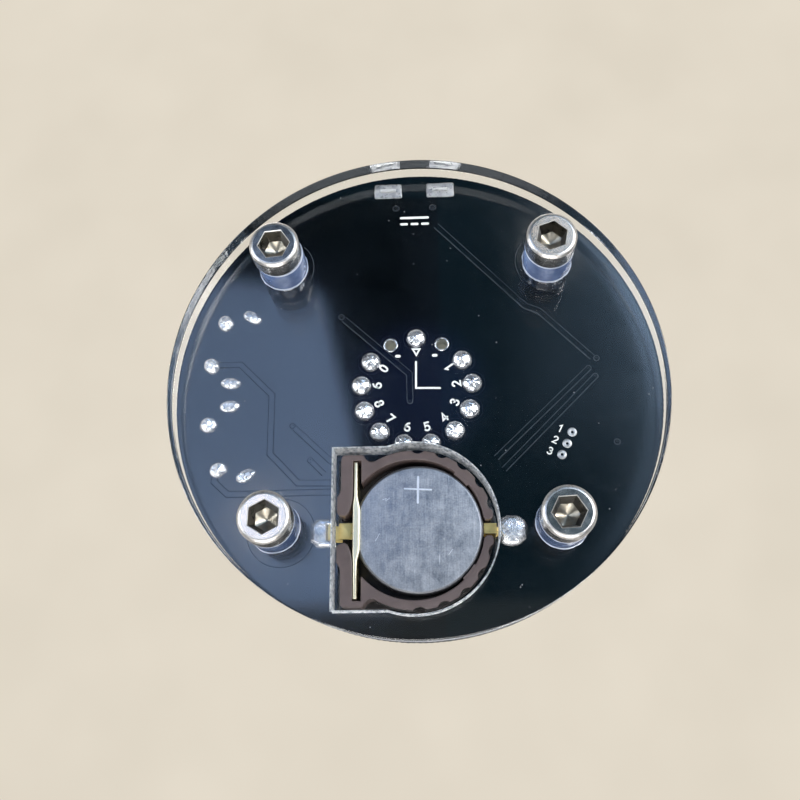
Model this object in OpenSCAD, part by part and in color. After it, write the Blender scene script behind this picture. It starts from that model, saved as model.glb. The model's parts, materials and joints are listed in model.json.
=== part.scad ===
// Single-tube nixie clock: a round circuit board between two clear discs,
// a glass numeral tube standing in the middle, a coin cell under the board.
// It stands on the heads of four cap screws. Units are millimetres, +Z is up,
// the origin is on the disc axis at the surface the clock stands on.
// The numerals face -Y, the power socket faces +Y, the buttons face +X.

/* [Stack] */
// Diameter of the base disc and the board
disc_d = 50; // [49:0.5:54]
// Diameter of the top disc
top_d = 48; // [44:0.5:50]
// Thickness of the clear base disc
base_t = 3; // [2.5:0.1:3.2]
// Air gap between the base disc and the board
gap_t = 1.5; // [1.4:0.1:2]
// Thickness of the circuit board
board_t = 1.6; // [1.2:0.2:1.6]
// Height of the standoffs between the board and the top disc
standoff_h = 8; // [7.5:0.5:12]
// Thickness of the clear top disc
top_t = 3; // [2:0.5:4]

/* [Screws and spacers] */
// Spacing of the four screws along X
screw_dx = 27.2; // [26.6:0.1:28]
// Spacing of the four screws along Y
screw_dy = 27; // [26.6:0.1:27.4]
// Shift of the screw pattern along Y
screw_y = -0.9; // [-1.2:0.1:-0.6]
// Diameter of the screw heads
head_d = 4.9; // [4.6:0.1:5.2]
// Height of the screw heads
head_h = 2.3; // [2.2:0.1:3]
// Size of the hexagon socket across its flats
socket_af = 2.7; // [2.3:0.1:2.9]
// Diameter of the screw shanks
shank_d = 2.9; // [2.8:0.05:3]
// Height of the foot spacers
foot_h = 3.35; // [3:0.05:4]

/* [Tube] */
// Outer diameter of the glass bulb
bulb_d = 18.4; // [18:0.1:19]
// Height of the glass bulb
bulb_h = 48; // [47:0.5:52]
// Wall of the glass bulb
bulb_w = 0.9; // [0.8:0.05:1]
// Radius of the circle of tube leads
lead_r = 5.75; // [5.6:0.05:5.9]
// Height of the numerals
digit_h = 18; // [17:0.5:18]
// Width of the numeral strokes
stroke = 0.5; // [0.4:0.05:0.6]
// Spacing of the stacked numerals
digit_pitch = 0.8; // [0.7:0.05:0.8]

/* [Battery] */
// Diameter of the coin cell
cell_d = 12.5; // [12.3:0.05:12.5]
// Thickness of the coin cell
cell_t = 2; // [1.8:0.1:2]

/* [Buttons] */
// Angle of each switch from the X axis
switch_a = 15; // [14.5:0.5:18]
// Diameter of the buttons
button_d = 3.4; // [3.2:0.1:3.4]
// Distance of the button tips from the disc axis
button_tip = 24.85; // [23.5:0.05:24.9]

/* [Hidden] */
$fn = 64;
z_foot = head_h;
z_base = z_foot + foot_h;
z_gap = z_base + base_t;
z_board = z_gap + gap_t;
z_top = z_board + board_t;
z_plate = z_top + standoff_h;
z_cover = z_plate + top_t;
disc_r = disc_d/2;
screws = [for (sx = [-1, 1], sy = [-1, 1]) [sx*screw_dx/2, screw_y + sy*screw_dy/2]];
// turn of each hexagon socket, in the order of the list above
socket_turn = [57, 41, 32, 55];
hole_d = 3.2;
// tube
n_leads = 13;
open_leads = [1, 12];
lead_d = 0.5;
z_seat = z_top;
seat_h = 2.75;
z_bulb = z_seat + seat_h + 0.1;
z_low = z_bulb + 7.4;
z_mid = z_low + 0.6 + 11.0;
ear = digit_h/2 + 0.8;
z_up = z_mid + 11.0;
n_digits = 10;
y_first = -digit_pitch*(n_digits - 1)/2;
sheet = 0.2;
mesh_y = y_first - 1.3;
shield_y = -y_first + 1.3;
// front to back order of the numerals
digit_order = [1, 6, 2, 7, 5, 0, 4, 9, 8, 3];
function slot_of(n) = [for (i = [0:9]) if (digit_order[i] == n) i][0];
// battery holder: its own centre lies a little off the cell centre
hold_x = 0.35;
hold_y = -14.5;
cell_r = cell_d/2;
cell_x = -0.42;
hold_out = 7.7;
hold_in = 6.75;
z_floor = z_board - 0.5;
z_cell = z_floor - 0.3 - cell_t;
z_rim = z_cell - 0.35;
cut_r = 8.1;
cut_left = 7.75;
cut_half = 7.7;
// switches
sw_pin_u = 21.55;
sw_pin_v = 2.45;
sw_tab_u = 18.97;
sw_tab_v = 3.8;
sw_h = 6.15;
sw_z = z_top + 3.3;
// power socket
usb_tab_x = 2.85;
usb_tab_y = 23.15;
usb_z = z_top + 0.05;
usb_back = 19.8;
usb_front = disc_r - 0.1;
bars = [-1.3, -0.65, 0, 0.65, 1.3];

// ---------- shared shapes ----------
module at_screws() { for (i = [0:3]) translate([screws[i][0], screws[i][1], 0]) children(); }
module ring(r_out, r_in, h) {
  difference() {
    cylinder(r = r_out, h = h);
    translate([0, 0, -0.5]) cylinder(r = r_in, h = h + 1);
  }
}
module at_lead(k) { rotate([0, 0, 90 + 360/n_leads*k]) translate([lead_r, 0, 0]) children(); }
module at_switch(s) { rotate([0, 0, s*switch_a]) children(); }
module at_holder() { translate([hold_x, hold_y, 0]) children(); }
module block(x0, x1, y0, y1, z0, z1) { translate([x0, y0, z0]) cube([x1 - x0, y1 - y0, z1 - z0]); }

// cap screw with its head at the bottom, the seat of the head at z = head_h
module cap_screw(turn, len) {
  difference() {
    union() {
      rotate_extrude() polygon([[0, 0], [head_d/2 - 0.4, 0], [head_d/2 - 0.1, 0.14],
        [head_d/2, 0.42], [head_d/2, head_h], [0, head_h]]);
      translate([0, 0, head_h]) cylinder(d = shank_d, h = len);
    }
    rotate([0, 0, turn]) {
      translate([0, 0, -0.15]) cylinder(d1 = 1.04*socket_af/cos(30), d2 = 0.72*socket_af/cos(30), h = 1.6, $fn = 6);
      translate([0, 0, 1.44]) cylinder(d1 = 0.724*socket_af/cos(30), d2 = 0.2, h = 0.6, $fn = 6);
    }
  }
}

// solder dome under the board, with a blind bore for the lead in it
module solder_dome(r, h, bore) {
  translate([0, 0, z_board]) difference() {
    rotate_extrude() polygon([[0, 0], [r, 0], [r*0.97, -h*0.16], [r*0.86, -h*0.45],
      [r*0.66, -h*0.74], [r*0.38, -h*0.93], [0, -h]]);
    translate([0, 0, -h*0.72]) cylinder(d = bore, h = h);
  }
}

// gull-wing leads along one side of a chip: n leads, along Y, body side at x = 0
module gull(n, pitch, w, reach, rise) {
  for (i = [0:n - 1]) translate([0, (i - (n - 1)/2)*pitch - w/2, 0]) {
    translate([-0.05, 0, rise - 0.15]) cube([reach*0.45 + 0.05, w, 0.15]);
    translate([reach*0.45 - 0.15, 0, 0]) cube([0.15, w, rise]);
    translate([reach*0.45 - 0.15, 0, 0]) cube([reach*0.55 + 0.15, w, 0.15]);
  }
}
// chip with leads on two sides
module two_row_chip(n, pitch, w, bx, by, h, reach) {
  translate([0, 0, z_top]) {
    difference() {
      translate([-bx/2, -by/2, 0.12]) cube([bx, by, h - 0.12]);
      translate([-bx/2 + 0.75, by/2 - 0.75, h - 0.06]) cylinder(r = 0.32, h = 1, $fn = 32);
    }
    translate([bx/2, 0, 0]) gull(n, pitch, w, reach, h*0.5);
    rotate([0, 0, 180]) translate([bx/2, 0, 0]) gull(n, pitch, w, reach, h*0.5);
  }
}
// chip resistor or capacitor with two end caps, long side along X
module chip2(l, w, h) {
  translate([-l/2, -w/2, z_top]) cube([l, w, h]);
}

// ---------- plates and fasteners ----------
module base_plate() color([0.75, 0.82, 0.86, 0.35]) difference() {
  translate([0, 0, z_base]) cylinder(r = disc_r, h = base_t, $fn = 128);
  at_screws() translate([0, 0, z_base - 1]) cylinder(d = hole_d, h = base_t + 2);
  at_holder() translate([0, 0, z_base - 1]) {
    intersection() {
      cylinder(r = cut_r, h = base_t + 2, $fn = 128);
      translate([-20, -20, -1]) cube([20 + cut_left, 40, base_t + 4]);
    }
    translate([0, -cut_half, 0]) cube([cut_left, 2*cut_half, base_t + 2]);
  }
}
module cap_screws() color([0.72, 0.71, 0.68])
  for (i = [0:3]) translate([screws[i][0], screws[i][1], 0]) cap_screw(socket_turn[i], 15 - head_h);
module foot_spacers() color([0.62, 0.68, 0.82, 0.7])
  at_screws() translate([0, 0, z_foot]) ring(head_d/2, hole_d/2, foot_h);
module board_spacers() color([0.15, 0.16, 0.2])
  at_screws() translate([0, 0, z_gap]) ring(head_d/2, hole_d/2, gap_t);
module circuit_board() color([0.03, 0.04, 0.06]) difference() {
  translate([0, 0, z_board]) cylinder(r = disc_r, h = board_t, $fn = 128);
  translate([0, 0, z_board - 1]) {
    at_screws() cylinder(d = hole_d, h = board_t + 2);
    for (k = [0:n_leads - 1]) at_lead(k) cylinder(d = is_open(k) ? 1.24 : 1, h = board_t + 2, $fn = 32);
    for (s = [-1, 1]) at_switch(s) for (v = [-1, 1]) {
      translate([sw_pin_u, v*sw_pin_v, 0]) cylinder(d = 1, h = board_t + 2, $fn = 32);
      translate([sw_tab_u - 0.7, v*sw_tab_v - 0.35, 0]) cube([1.4, 0.7, board_t + 2]);
    }
    for (s = [-1, 1]) {
      translate([s*usb_tab_x - 1, usb_tab_y - 0.35, 0]) cube([2, 0.7, board_t + 2]);
      translate([s*2, 21.05, 0]) cylinder(d = 0.8, h = board_t + 2, $fn = 32);
    }
  }
}
module standoffs() color([0.78, 0.66, 0.38]) at_screws() translate([0, 0, z_top]) difference() {
  cylinder(d = 5/cos(30), h = standoff_h, $fn = 6);
  translate([0, 0, -1]) cylinder(d = 3, h = standoff_h + 2);
}
module top_plate() color([0.75, 0.82, 0.86, 0.35]) difference() {
  translate([0, 0, z_plate]) cylinder(d = top_d, h = top_t, $fn = 128);
  translate([0, 0, z_plate - 1]) {
    cylinder(d = bulb_d + 1.6, h = top_t + 2, $fn = 128);
    at_screws() cylinder(d = hole_d, h = top_t + 2);
  }
}
module top_screws() color([0.72, 0.71, 0.68]) for (i = [0:3])
  translate([screws[i][0], screws[i][1], z_cover + head_h]) rotate([180, 0, 0])
    cap_screw(socket_turn[3 - i], top_t + 3);

// ---------- tube ----------
function dome(r, h, z, n) = [for (i = [0:n]) [r*pow(cos(90*i/n), 0.72), z + h*sin(90*i/n)]];
module tube_envelope() color([0.85, 0.9, 0.92, 0.3]) rotate_extrude($fn = 96) {
  r = bulb_d/2;
  zs = z_bulb + bulb_h - 7;
  polygon(concat([[r - bulb_w, z_bulb], [r - 0.2, z_bulb], [r, z_bulb + 0.3], [r, zs]],
    [for (i = [1:11]) dome(r, 7, zs, 12)[i]], [[0, zs + 7], [0, zs + 7 - bulb_w]],
    [for (i = [11:-1:1]) dome(r - bulb_w, 7 - bulb_w, zs, 12)[i]], [[r - bulb_w, zs]]));
}
module tube_stem() color([0.8, 0.86, 0.88, 0.4]) difference() {
  rotate_extrude($fn = 96) {
    r = bulb_d/2 - bulb_w - 0.05;
    polygon([[0, z_bulb - 2.2], [0.5, z_bulb - 2.2], [1.5, z_bulb - 1], [1.9, z_bulb],
      [r, z_bulb], [r, z_bulb + 1.2], [r - 1.2, z_bulb + 1.7], [0, z_bulb + 1.9]]);
  }
  for (k = [0:n_leads - 1]) at_lead(k) translate([0, 0, z_bulb - 3]) cylinder(d = lead_d + 0.06, h = 8, $fn = 32);
}
module tube_seat() color([0.9, 0.9, 0.86]) translate([0, 0, z_seat]) difference() {
  rotate_extrude($fn = 96) polygon([[3.2, 0], [8.2, 0], [8.4, 0.2], [8.4, seat_h - 0.2], [8.2, seat_h], [3.2, seat_h]]);
  for (k = [0:n_leads - 1]) if (!is_open(k)) at_lead(k) translate([0, 0, -1]) cylinder(d = 0.9, h = seat_h + 2, $fn = 32);
}
function is_open(k) = len([for (o = open_leads) if (o == k) 1]) > 0;
module tube_leads() color([0.72, 0.7, 0.66]) for (k = [0:n_leads - 1]) at_lead(k) {
  z0 = is_open(k) ? z_bulb - 0.05 : z_board - 0.6;
  translate([0, 0, z0]) cylinder(d = lead_d, h = z_low - z0, $fn = 32);
}
// numerals are drawn in X (across) and Y (up), then stood up facing -Y
module bar2(p, q) {
  d = q - p;
  translate(p) rotate(atan2(d[1], d[0])) translate([-stroke/2, -stroke/2]) square([norm(d) + stroke, stroke]);
}
module arc2(c, r, a0, a1) translate(c) intersection() {
  difference() { circle(r = r + stroke/2); circle(r = r - stroke/2); }
  polygon(concat([[0, 0]], [for (i = [0:8]) 3*r*[cos(a0 + (a1 - a0)*i/8), sin(a0 + (a1 - a0)*i/8)]]));
}
dh = digit_h/2 - stroke/2;
dr = dh/2;
dc = dh - dr;
module shape(n) {
  if (n == 0) { arc2([0, dc], dr, 0, 180); arc2([0, -dc], dr, 180, 360); bar2([dr, -dc], [dr, dc]); bar2([-dr, -dc], [-dr, dc]); }
  if (n == 1) { bar2([0, -dh], [0, dh]); bar2([-2, dh - 2.4], [0, dh]); }
  if (n == 2) { arc2([0, dc], dr, -28, 165); bar2([dr*cos(28), dc - dr*sin(28)], [-dr, -dh]); bar2([-dr, -dh], [dr, -dh]); }
  if (n == 3) { arc2([0, dc], dr, -90, 155); arc2([0, -dc], dr, -155, 90); bar2([-0.6, dc - dr], [0, dc - dr]); bar2([-0.6, dr - dc], [0, dr - dc]); }
  if (n == 4) { bar2([1.8, -dh], [1.8, dh]); bar2([-dr, -3], [1.8, dh]); bar2([-dr, -3], [dr - 0.2, -3]); bar2([0, -dh], [1.8, -dh]); bar2([0, dh], [1.8, dh]); }
  if (n == 5) { bar2([-3.6, dh], [3.8, dh]); bar2([-3.6, 0.6], [-3.6, dh]); arc2([0, -dc], dr, -155, 138); bar2([-3.6, 0.6], [dr*cos(138), dr*sin(138) - dc]); }
  if (n == 6) { arc2([0, -dc], dr, 0, 180); arc2([0, -dc], dr, 180, 360); bar2([-dr, -dc], [-dr, dc]); arc2([0, dc], dr, 28, 180); }
  if (n == 7) { bar2([-dr, dh], [dr, dh]); bar2([0, -dh], [dr, dh]); }
  if (n == 8) { for (s = [-1, 1]) { arc2([0, s*dc], dr, 0, 180); arc2([0, s*dc], dr, 180, 360); } }
  if (n == 9) rotate(180) shape(6);
}
module numeral(n) color([0.74, 0.72, 0.68])
  translate([0, y_first + slot_of(n)*digit_pitch + sheet/2, z_mid]) rotate([90, 0, 0]) linear_extrude(sheet)
    difference() {
      union() {
        shape(n);
        for (s = [-1, 1]) translate([0, s*ear]) circle(r = 0.95, $fn = 32);
      }
      for (s = [-1, 1]) translate([0, s*ear]) circle(r = 0.45, $fn = 32);
    }
module digit_0() numeral(0);
module digit_1() numeral(1);
module digit_2() numeral(2);
module digit_3() numeral(3);
module digit_4() numeral(4);
module digit_5() numeral(5);
module digit_6() numeral(6);
module digit_7() numeral(7);
module digit_8() numeral(8);
module digit_9() numeral(9);
module decimal_points() color([0.74, 0.72, 0.68]) for (s = [-1, 1]) {
  block(s*6.7 - 0.4, s*6.7 + 0.4, -1.1, -0.9, z_low + 2.2, z_low + 3.4);
  translate([s*6.7, -0.8, z_low + 0.6]) cylinder(d = 0.4, h = 2.4, $fn = 32);
}
module anode_mesh() color([0.6, 0.6, 0.58]) translate([0, mesh_y + 0.08, z_mid]) rotate([90, 0, 0]) linear_extrude(0.16) {
  hw = 5.9; hh = 10.95; p = 1.42;
  difference() {
    square([2*hw, 2*hh], center = true);
    intersection() {
      difference() {
        square([2*hw - 0.9, 2*hh - 0.7], center = true);
        for (s = [-1, 1]) translate([0, s*ear]) circle(r = 1.1, $fn = 32);
      }
      for (i = [-5:5], j = [-9:9]) translate([(i + (j % 2 == 0 ? 0 : 0.5))*p, j*p*0.866]) rotate(30) circle(d = p*1.02, $fn = 6);
    }
    for (s = [-1, 1]) translate([0, s*ear]) circle(r = 0.45, $fn = 32);
  }
}
module rear_shield() color([0.5, 0.5, 0.5]) difference() {
  union() {
    block(-5.9, 5.9, shield_y - 0.1, shield_y + 0.1, z_mid - 10.95, z_mid + 10.95);
    for (s = [-1, 1]) block(s*5.8 - 0.1, s*5.8 + 0.1, shield_y - 2.4, shield_y + 0.1, z_mid - 10.95, z_mid + 10.95);
  }
  for (s = [-1, 1]) translate([0, shield_y + 1, z_mid + s*ear]) rotate([90, 0, 0]) cylinder(r = 0.45, h = 2, $fn = 32);
}
module lower_insulator() color([0.86, 0.84, 0.78, 0.8]) translate([0, 0, z_low]) difference() {
  cylinder(r = 7.9, h = 0.55);
  translate([0, 0, -1]) cylinder(r = 1.2, h = 3);
}
module upper_insulator() color([0.86, 0.84, 0.78, 0.8]) translate([0, 0, z_up + 0.05]) difference() {
  cylinder(r = 7.9, h = 0.55);
  translate([0, 0, -1]) cylinder(r = 1.2, h = 3);
}
module support_rods() color([0.7, 0.7, 0.7]) for (s = [-1, 1])
  translate([0, shield_y + 0.5, z_mid + s*ear]) rotate([90, 0, 0]) cylinder(r = 0.4, h = shield_y - mesh_y + 1, $fn = 32);
module cathode_spacers() color([0.92, 0.9, 0.84]) for (s = [-1, 1], i = [-1:n_digits - 1]) {
  y0 = i < 0 ? mesh_y + 0.1 : y_first + i*digit_pitch + sheet/2 + 0.01;
  y1 = i == n_digits - 1 ? shield_y - 0.12 : y_first + (i + 1)*digit_pitch - sheet/2 - 0.01;
  translate([0, y1, z_mid + s*ear]) rotate([90, 0, 0]) ring(0.9, 0.45, y1 - y0, $fn = 32);
}
module getter() color([0.35, 0.35, 0.36]) {
  translate([0, 0, z_up + 5.6]) rotate_extrude() translate([2.6, 0]) circle(r = 0.4, $fn = 24);
  translate([2.6, 0, z_up + 0.6]) cylinder(d = 0.5, h = 4.9, $fn = 32);
}

// ---------- battery ----------
module battery_holder() color([0.42, 0.34, 0.33]) at_holder() difference() {
  union() {
    // floor against the board
    translate([0, 0, z_floor]) linear_extrude(z_board - z_floor) difference() {
      union() { circle(r = hold_out); translate([2.6, -7.35]) square([4.6, 14.7]); }
      circle(r = 2.7);
      translate([5.6, -0.95]) square([4, 1.9]);
      translate([-9, -0.75]) square([9, 1.5]);
    }
    // round wall
    translate([0, 0, z_rim]) linear_extrude(z_floor - z_rim) difference() {
      circle(r = hold_out, $fn = 128);
      circle(r = hold_in, $fn = 128);
      translate([4, -9]) square([6, 18]);
      translate([-9, -0.75]) square([6, 1.5]);
    }
    // square frame around the spring
    translate([0, 0, z_rim]) linear_extrude(z_floor - z_rim) for (s = [-1, 1]) scale_y(s) {
      difference() {
        translate([4, 4.5]) square([1.13, 2.85]);
        circle(r = hold_in, $fn = 128);
      }
      polygon([[4.9, 6.75], [4.9, 7.35], [6.85, 7.35], [7.12, 7.05], [7.12, 3.86], [7.5, 3.15], [7.48, 1.6],
        [6.7, 1.26], [6.3, 1.6], [6.1, 2.2], [5.92, 3.1], [5.92, 6.75]]);
    }
    // nubs that hold the cell
    for (a = [134, -141]) rotate([0, 0, a]) block(6.64, 6.95, -0.85, 0.85, z_rim, z_rim + 0.6);
  }
  // flutes on the outside of the round wall
  for (s = [-1, 1], k = [0:4]) rotate([0, 0, 180 + s*(17 + 17.5*k)])
    translate([hold_out + 0.45, 0, z_rim - 0.5]) cylinder(r = 0.75, h = 2, $fn = 40);
  for (s = [-1, 1]) translate([4.35, s*7.25, z_rim - 0.5]) cylinder(r = 0.5, h = 2, $fn = 32);
}
module scale_y(s) { if (s > 0) children(); else mirror([0, 1]) children(); }
module battery_spring() color([0.83, 0.7, 0.38]) at_holder() {
  // bowed strip that presses on the edge of the cell
  translate([0, 0, z_rim - 0.1]) linear_extrude(z_floor - z_rim + 0.05)
    polygon([[5.38, -6.6], [5.38, -2.55], [5.6, -2], [5.83, -1], [5.9, -0.4], [5.9, 0.4], [5.83, 1], [5.6, 2],
      [5.38, 2.55], [5.38, 6.6], [5.82, 6.6], [5.82, 3], [5.96, 2], [6.17, 1], [6.24, 0.4], [6.24, -0.4],
      [6.17, -1], [5.96, -2], [5.82, -3], [5.82, -6.6]]);
  block(5.93, 6.17, -0.8, 0.8, z_floor - 0.2, z_board);
  block(6, 9.75, -0.8, 0.8, z_board - 0.25, z_board);
  block(6, 7.4, -0.8, 0.8, z_rim + 1.1, z_rim + 1.3);
}
module battery_contact() color([0.83, 0.7, 0.38]) at_holder() {
  block(-7.9, 1.2, -0.5, 0.5, z_floor - 0.2, z_floor);
  translate([0, 0, z_floor - 0.2]) cylinder(r = 2, h = 0.2);
  block(-7.9, -7.65, -0.5, 0.5, z_rim + 0.7, z_board);
  block(-7.9, -6.72, -0.5, 0.5, z_rim + 0.7, z_rim + 0.95);
  block(-10.1, -7.9, -0.5, 0.5, z_board - 0.25, z_board);
}
module at_cell() { at_holder() translate([cell_x, 0, z_cell]) children(); }
module cell_can() color([0.5, 0.53, 0.57]) at_cell() rotate_extrude($fn = 96)
  polygon([[0, 0], [cell_r - 0.45, 0], [cell_r - 0.2, 0.06], [cell_r - 0.06, 0.2], [cell_r, 0.45], [cell_r, cell_t - 0.3],
    [cell_r - 0.45, cell_t - 0.12], [cell_r - 0.45, cell_t - 0.32], [cell_r - 0.22, cell_t - 0.42],
    [cell_r - 0.22, 0.45], [cell_r - 0.45, 0.24], [0, 0.24]]);
module cell_gasket() color([0.1, 0.1, 0.1]) at_cell() rotate_extrude($fn = 96)
  polygon([[cell_r - 0.72, 0.28], [cell_r - 0.5, 0.28], [cell_r - 0.26, 0.5], [cell_r - 0.26, cell_t - 0.46],
    [cell_r - 0.49, cell_t - 0.36], [cell_r - 0.49, cell_t - 0.1], [cell_r - 0.72, cell_t - 0.1]]);
module cell_cap() color([0.62, 0.63, 0.65]) at_cell() rotate_extrude($fn = 96)
  polygon([[0, cell_t - 0.22], [cell_r - 1.05, cell_t - 0.22], [cell_r - 0.98, 0.3], [cell_r - 0.76, 0.3], [cell_r - 0.76, cell_t - 0.08],
    [cell_r - 1.2, cell_t], [0, cell_t]]);

// ---------- power socket ----------
module socket_shape(o) polygon([[-3.75 + o, 2.55 - o], [3.75 - o, 2.55 - o], [3.75 - o, 1.05 + o*0.4],
  [2.9 - o*0.6, o], [-2.9 + o*0.6, o], [-3.75 + o, 1.05 + o*0.4]]);
module along_y(y0, y1) translate([0, y1, usb_z]) rotate([90, 0, 0]) linear_extrude(y1 - y0) children();
module contact_bars(o) for (x = bars) translate([x - 0.16 - o, 0, 0]) rotate([90, 0, 90]) linear_extrude(0.32 + 2*o)
  polygon([[18.9, z_top + 0.03 - o], [20.4 + o, z_top + 0.03 - o], [20.4 + o, usb_z + 0.72 - o], [24.1 + o, usb_z + 0.72 - o],
    [24.1 + o, usb_z + 0.86 + o], [20.25 - o, usb_z + 0.86 + o], [20.25 - o, z_top + 0.18 + o], [18.9, z_top + 0.18 + o]]);
module usb_shell() color([0.75, 0.75, 0.73]) {
  difference() {
    along_y(usb_back, usb_front) socket_shape(0);
    along_y(usb_back + 0.3, usb_front + 1) socket_shape(0.3);
    block(-1.9, 1.9, usb_back - 1, usb_back + 1, usb_z - 1, usb_z + 1);
  }
  for (s = [-1, 1]) block(s*usb_tab_x - 0.85, s*usb_tab_x + 0.85, usb_tab_y - 0.15, usb_tab_y + 0.15, z_board - 0.3, usb_z + 0.02);
}
module usb_insulator() color([0.08, 0.08, 0.08]) difference() {
  union() {
    intersection() {
      along_y(usb_back + 0.35, usb_back + 1.8) socket_shape(0.34);
      block(-4, 4, 19, 26, usb_z + 0.4, usb_z + 4);
    }
    block(-2.1, 2.1, usb_back + 1.7, usb_front - 0.5, usb_z + 0.87, usb_z + 1.45);
  }
  contact_bars(0.01);
}
module usb_contacts() color([0.83, 0.7, 0.38]) contact_bars(0);

// ---------- push switches ----------
module switch_body() difference() {
  block(18.2, 21.95, -3.55, 3.55, z_top, z_top + sw_h);
  translate([18.9, 0, sw_z]) rotate([0, 90, 0]) cylinder(r = 2.4, h = 1.5);
  translate([20, 0, sw_z]) rotate([0, 90, 0]) cylinder(d = button_d + 0.1, h = 3);
}
module switch_bracket() {
  difference() {
    block(22, 22.25, -3.95, 3.95, z_top + 0.15, z_top + sw_h);
    translate([21, 0, sw_z]) rotate([0, 90, 0]) cylinder(d = button_d + 0.4, h = 3);
  }
  for (s = [-1, 1]) {
    block(18.2, 22.1, s*3.8 - 0.15, s*3.8 + 0.15, z_top + 0.8, z_top + sw_h);
    block(sw_tab_u - 0.45, sw_tab_u + 0.45, s*3.8 - 0.15, s*3.8 + 0.15, z_board - 0.5, z_top + 0.9);
  }
}
module switch_button() translate([0, 0, sw_z]) rotate([0, 90, 0]) rotate_extrude()
  polygon([[0, 19.65], [2.3, 19.65], [2.3, 20.35], [button_d/2, 20.35], [button_d/2, button_tip - 0.25],
    [button_d/2 - 0.25, button_tip], [0, button_tip]]);
module switch_1_body() color([0.07, 0.07, 0.07]) at_switch(1) switch_body();
module switch_1_bracket() color([0.7, 0.7, 0.7]) at_switch(1) switch_bracket();
module switch_1_button() color([0.05, 0.05, 0.05]) at_switch(1) switch_button();
module switch_2_body() color([0.07, 0.07, 0.07]) at_switch(-1) switch_body();
module switch_2_bracket() color([0.7, 0.7, 0.7]) at_switch(-1) switch_bracket();
module switch_2_button() color([0.05, 0.05, 0.05]) at_switch(-1) switch_button();
module switch_terminals() color([0.7, 0.7, 0.7]) for (s = [-1, 1]) at_switch(s) for (v = [-1, 1])
  translate([sw_pin_u, v*sw_pin_v, z_board - 0.5]) cylinder(d = 0.7, h = z_top - z_board + 0.5, $fn = 32);
module switch_domes() color([0.75, 0.72, 0.6]) for (s = [-1, 1]) at_switch(s)
  translate([18.91, 0, sw_z]) rotate([0, 90, 0]) rotate_extrude()
    polygon([[0, 0.24], [0.8, 0.2], [1.5, 0.12], [2.1, 0], [2.25, 0], [1.6, 0.22], [0.9, 0.31], [0, 0.35]]);

// ---------- solder ----------
module pin_solder() color([0.78, 0.79, 0.8]) for (k = [0:n_leads - 1]) if (!is_open(k)) at_lead(k) solder_dome(1.02, 1.05, lead_d + 0.06);
// outline with round ends: half length l between the end centres, end radius r
module long_hole(l, r) {
  for (s = [-1, 1]) translate([s*l, 0]) circle(r = r, $fn = 32);
  square([2*l, 2*r], center = true);
}
module tab_solder() color([0.78, 0.79, 0.8]) {
  for (s = [-1, 1]) at_switch(s) for (v = [-1, 1]) {
    translate([sw_pin_u, v*sw_pin_v, 0]) solder_dome(0.9, 0.85, 0.76);
    translate([sw_tab_u, v*sw_tab_v, 0]) difference() {
      union() {
        translate([0, 0, z_board - 0.24]) linear_extrude(0.24) long_hole(0.32, 0.74);
        translate([0, 0, z_board - 0.48]) linear_extrude(0.26) long_hole(0.3, 0.62);
        translate([0, 0, z_board - 0.68]) linear_extrude(0.22) long_hole(0.26, 0.44);
      }
      block(-0.47, 0.47, -0.17, 0.17, z_board - 0.52, z_board + 1);
    }
  }
  // rectangular joints of the power socket tabs
  for (s = [-1, 1]) difference() {
    union() {
      block(s*usb_tab_x - 1.5, s*usb_tab_x + 1.5, usb_tab_y - 0.85, usb_tab_y + 0.85, z_board - 0.12, z_board);
      block(s*usb_tab_x - 1.15, s*usb_tab_x + 1.15, usb_tab_y - 0.5, usb_tab_y + 0.5, z_board - 0.4, z_board - 0.1);
    }
    block(s*usb_tab_x - 0.87, s*usb_tab_x + 0.87, usb_tab_y - 0.17, usb_tab_y + 0.17, z_board - 0.32, z_board + 1);
  }
  // joints of the two battery tabs, round at their outer end
  at_holder() for (s = [-1, 1]) difference() {
    union() {
      block(s > 0 ? 7.8 : -9.2, s > 0 ? 8.8 : -8.0, -1.45, 1.45, z_board - 0.5, z_board);
      translate([s > 0 ? 8.8 : -9.2, 0, z_board - 0.5]) intersection() {
        cylinder(r = 1.45, h = 0.5);
        block(s > 0 ? 0 : -2, s > 0 ? 2 : 0, -2, 2, 0, 1);
      }
    }
    block(s > 0 ? 7 : -10.12, s > 0 ? 9.77 : -7, s > 0 ? -0.82 : -0.52, s > 0 ? 0.82 : 0.52, z_board - 0.27, z_board + 1);
  }
}

// ---------- parts on the board ----------
module microcontroller() color([0.06, 0.06, 0.06]) translate([-15.6, -0.8, 0]) {
  translate([0, 0, z_top]) {
    difference() {
      block(-3.5, 3.5, -3.5, 3.5, 0.1, 1.05);
      translate([-2.8, 2.8, 0.99]) cylinder(r = 0.35, h = 1, $fn = 32);
    }
    for (a = [0:90:270]) rotate([0, 0, a]) translate([3.5, 0, 0]) gull(8, 0.8, 0.35, 1, 0.55);
  }
}
module cathode_driver() color([0.06, 0.06, 0.06]) translate([-7.4, 15.2, 0]) two_row_chip(8, 1.27, 0.42, 3.9, 9.9, 1.6, 1.05);
module clock_chip() color([0.06, 0.06, 0.06]) translate([-7, -16.6, 0]) rotate([0, 0, 90]) two_row_chip(4, 1.27, 0.42, 3.9, 4.9, 1.6, 1.05);
module crystal() color([0.75, 0.75, 0.75]) translate([-2.6, -12.6, z_top]) {
  block(-1.6, 1.6, -0.75, 0.75, 0, 0.45);
  block(-1.45, 1.45, -0.6, 0.6, 0.4, 0.8);
}
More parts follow.
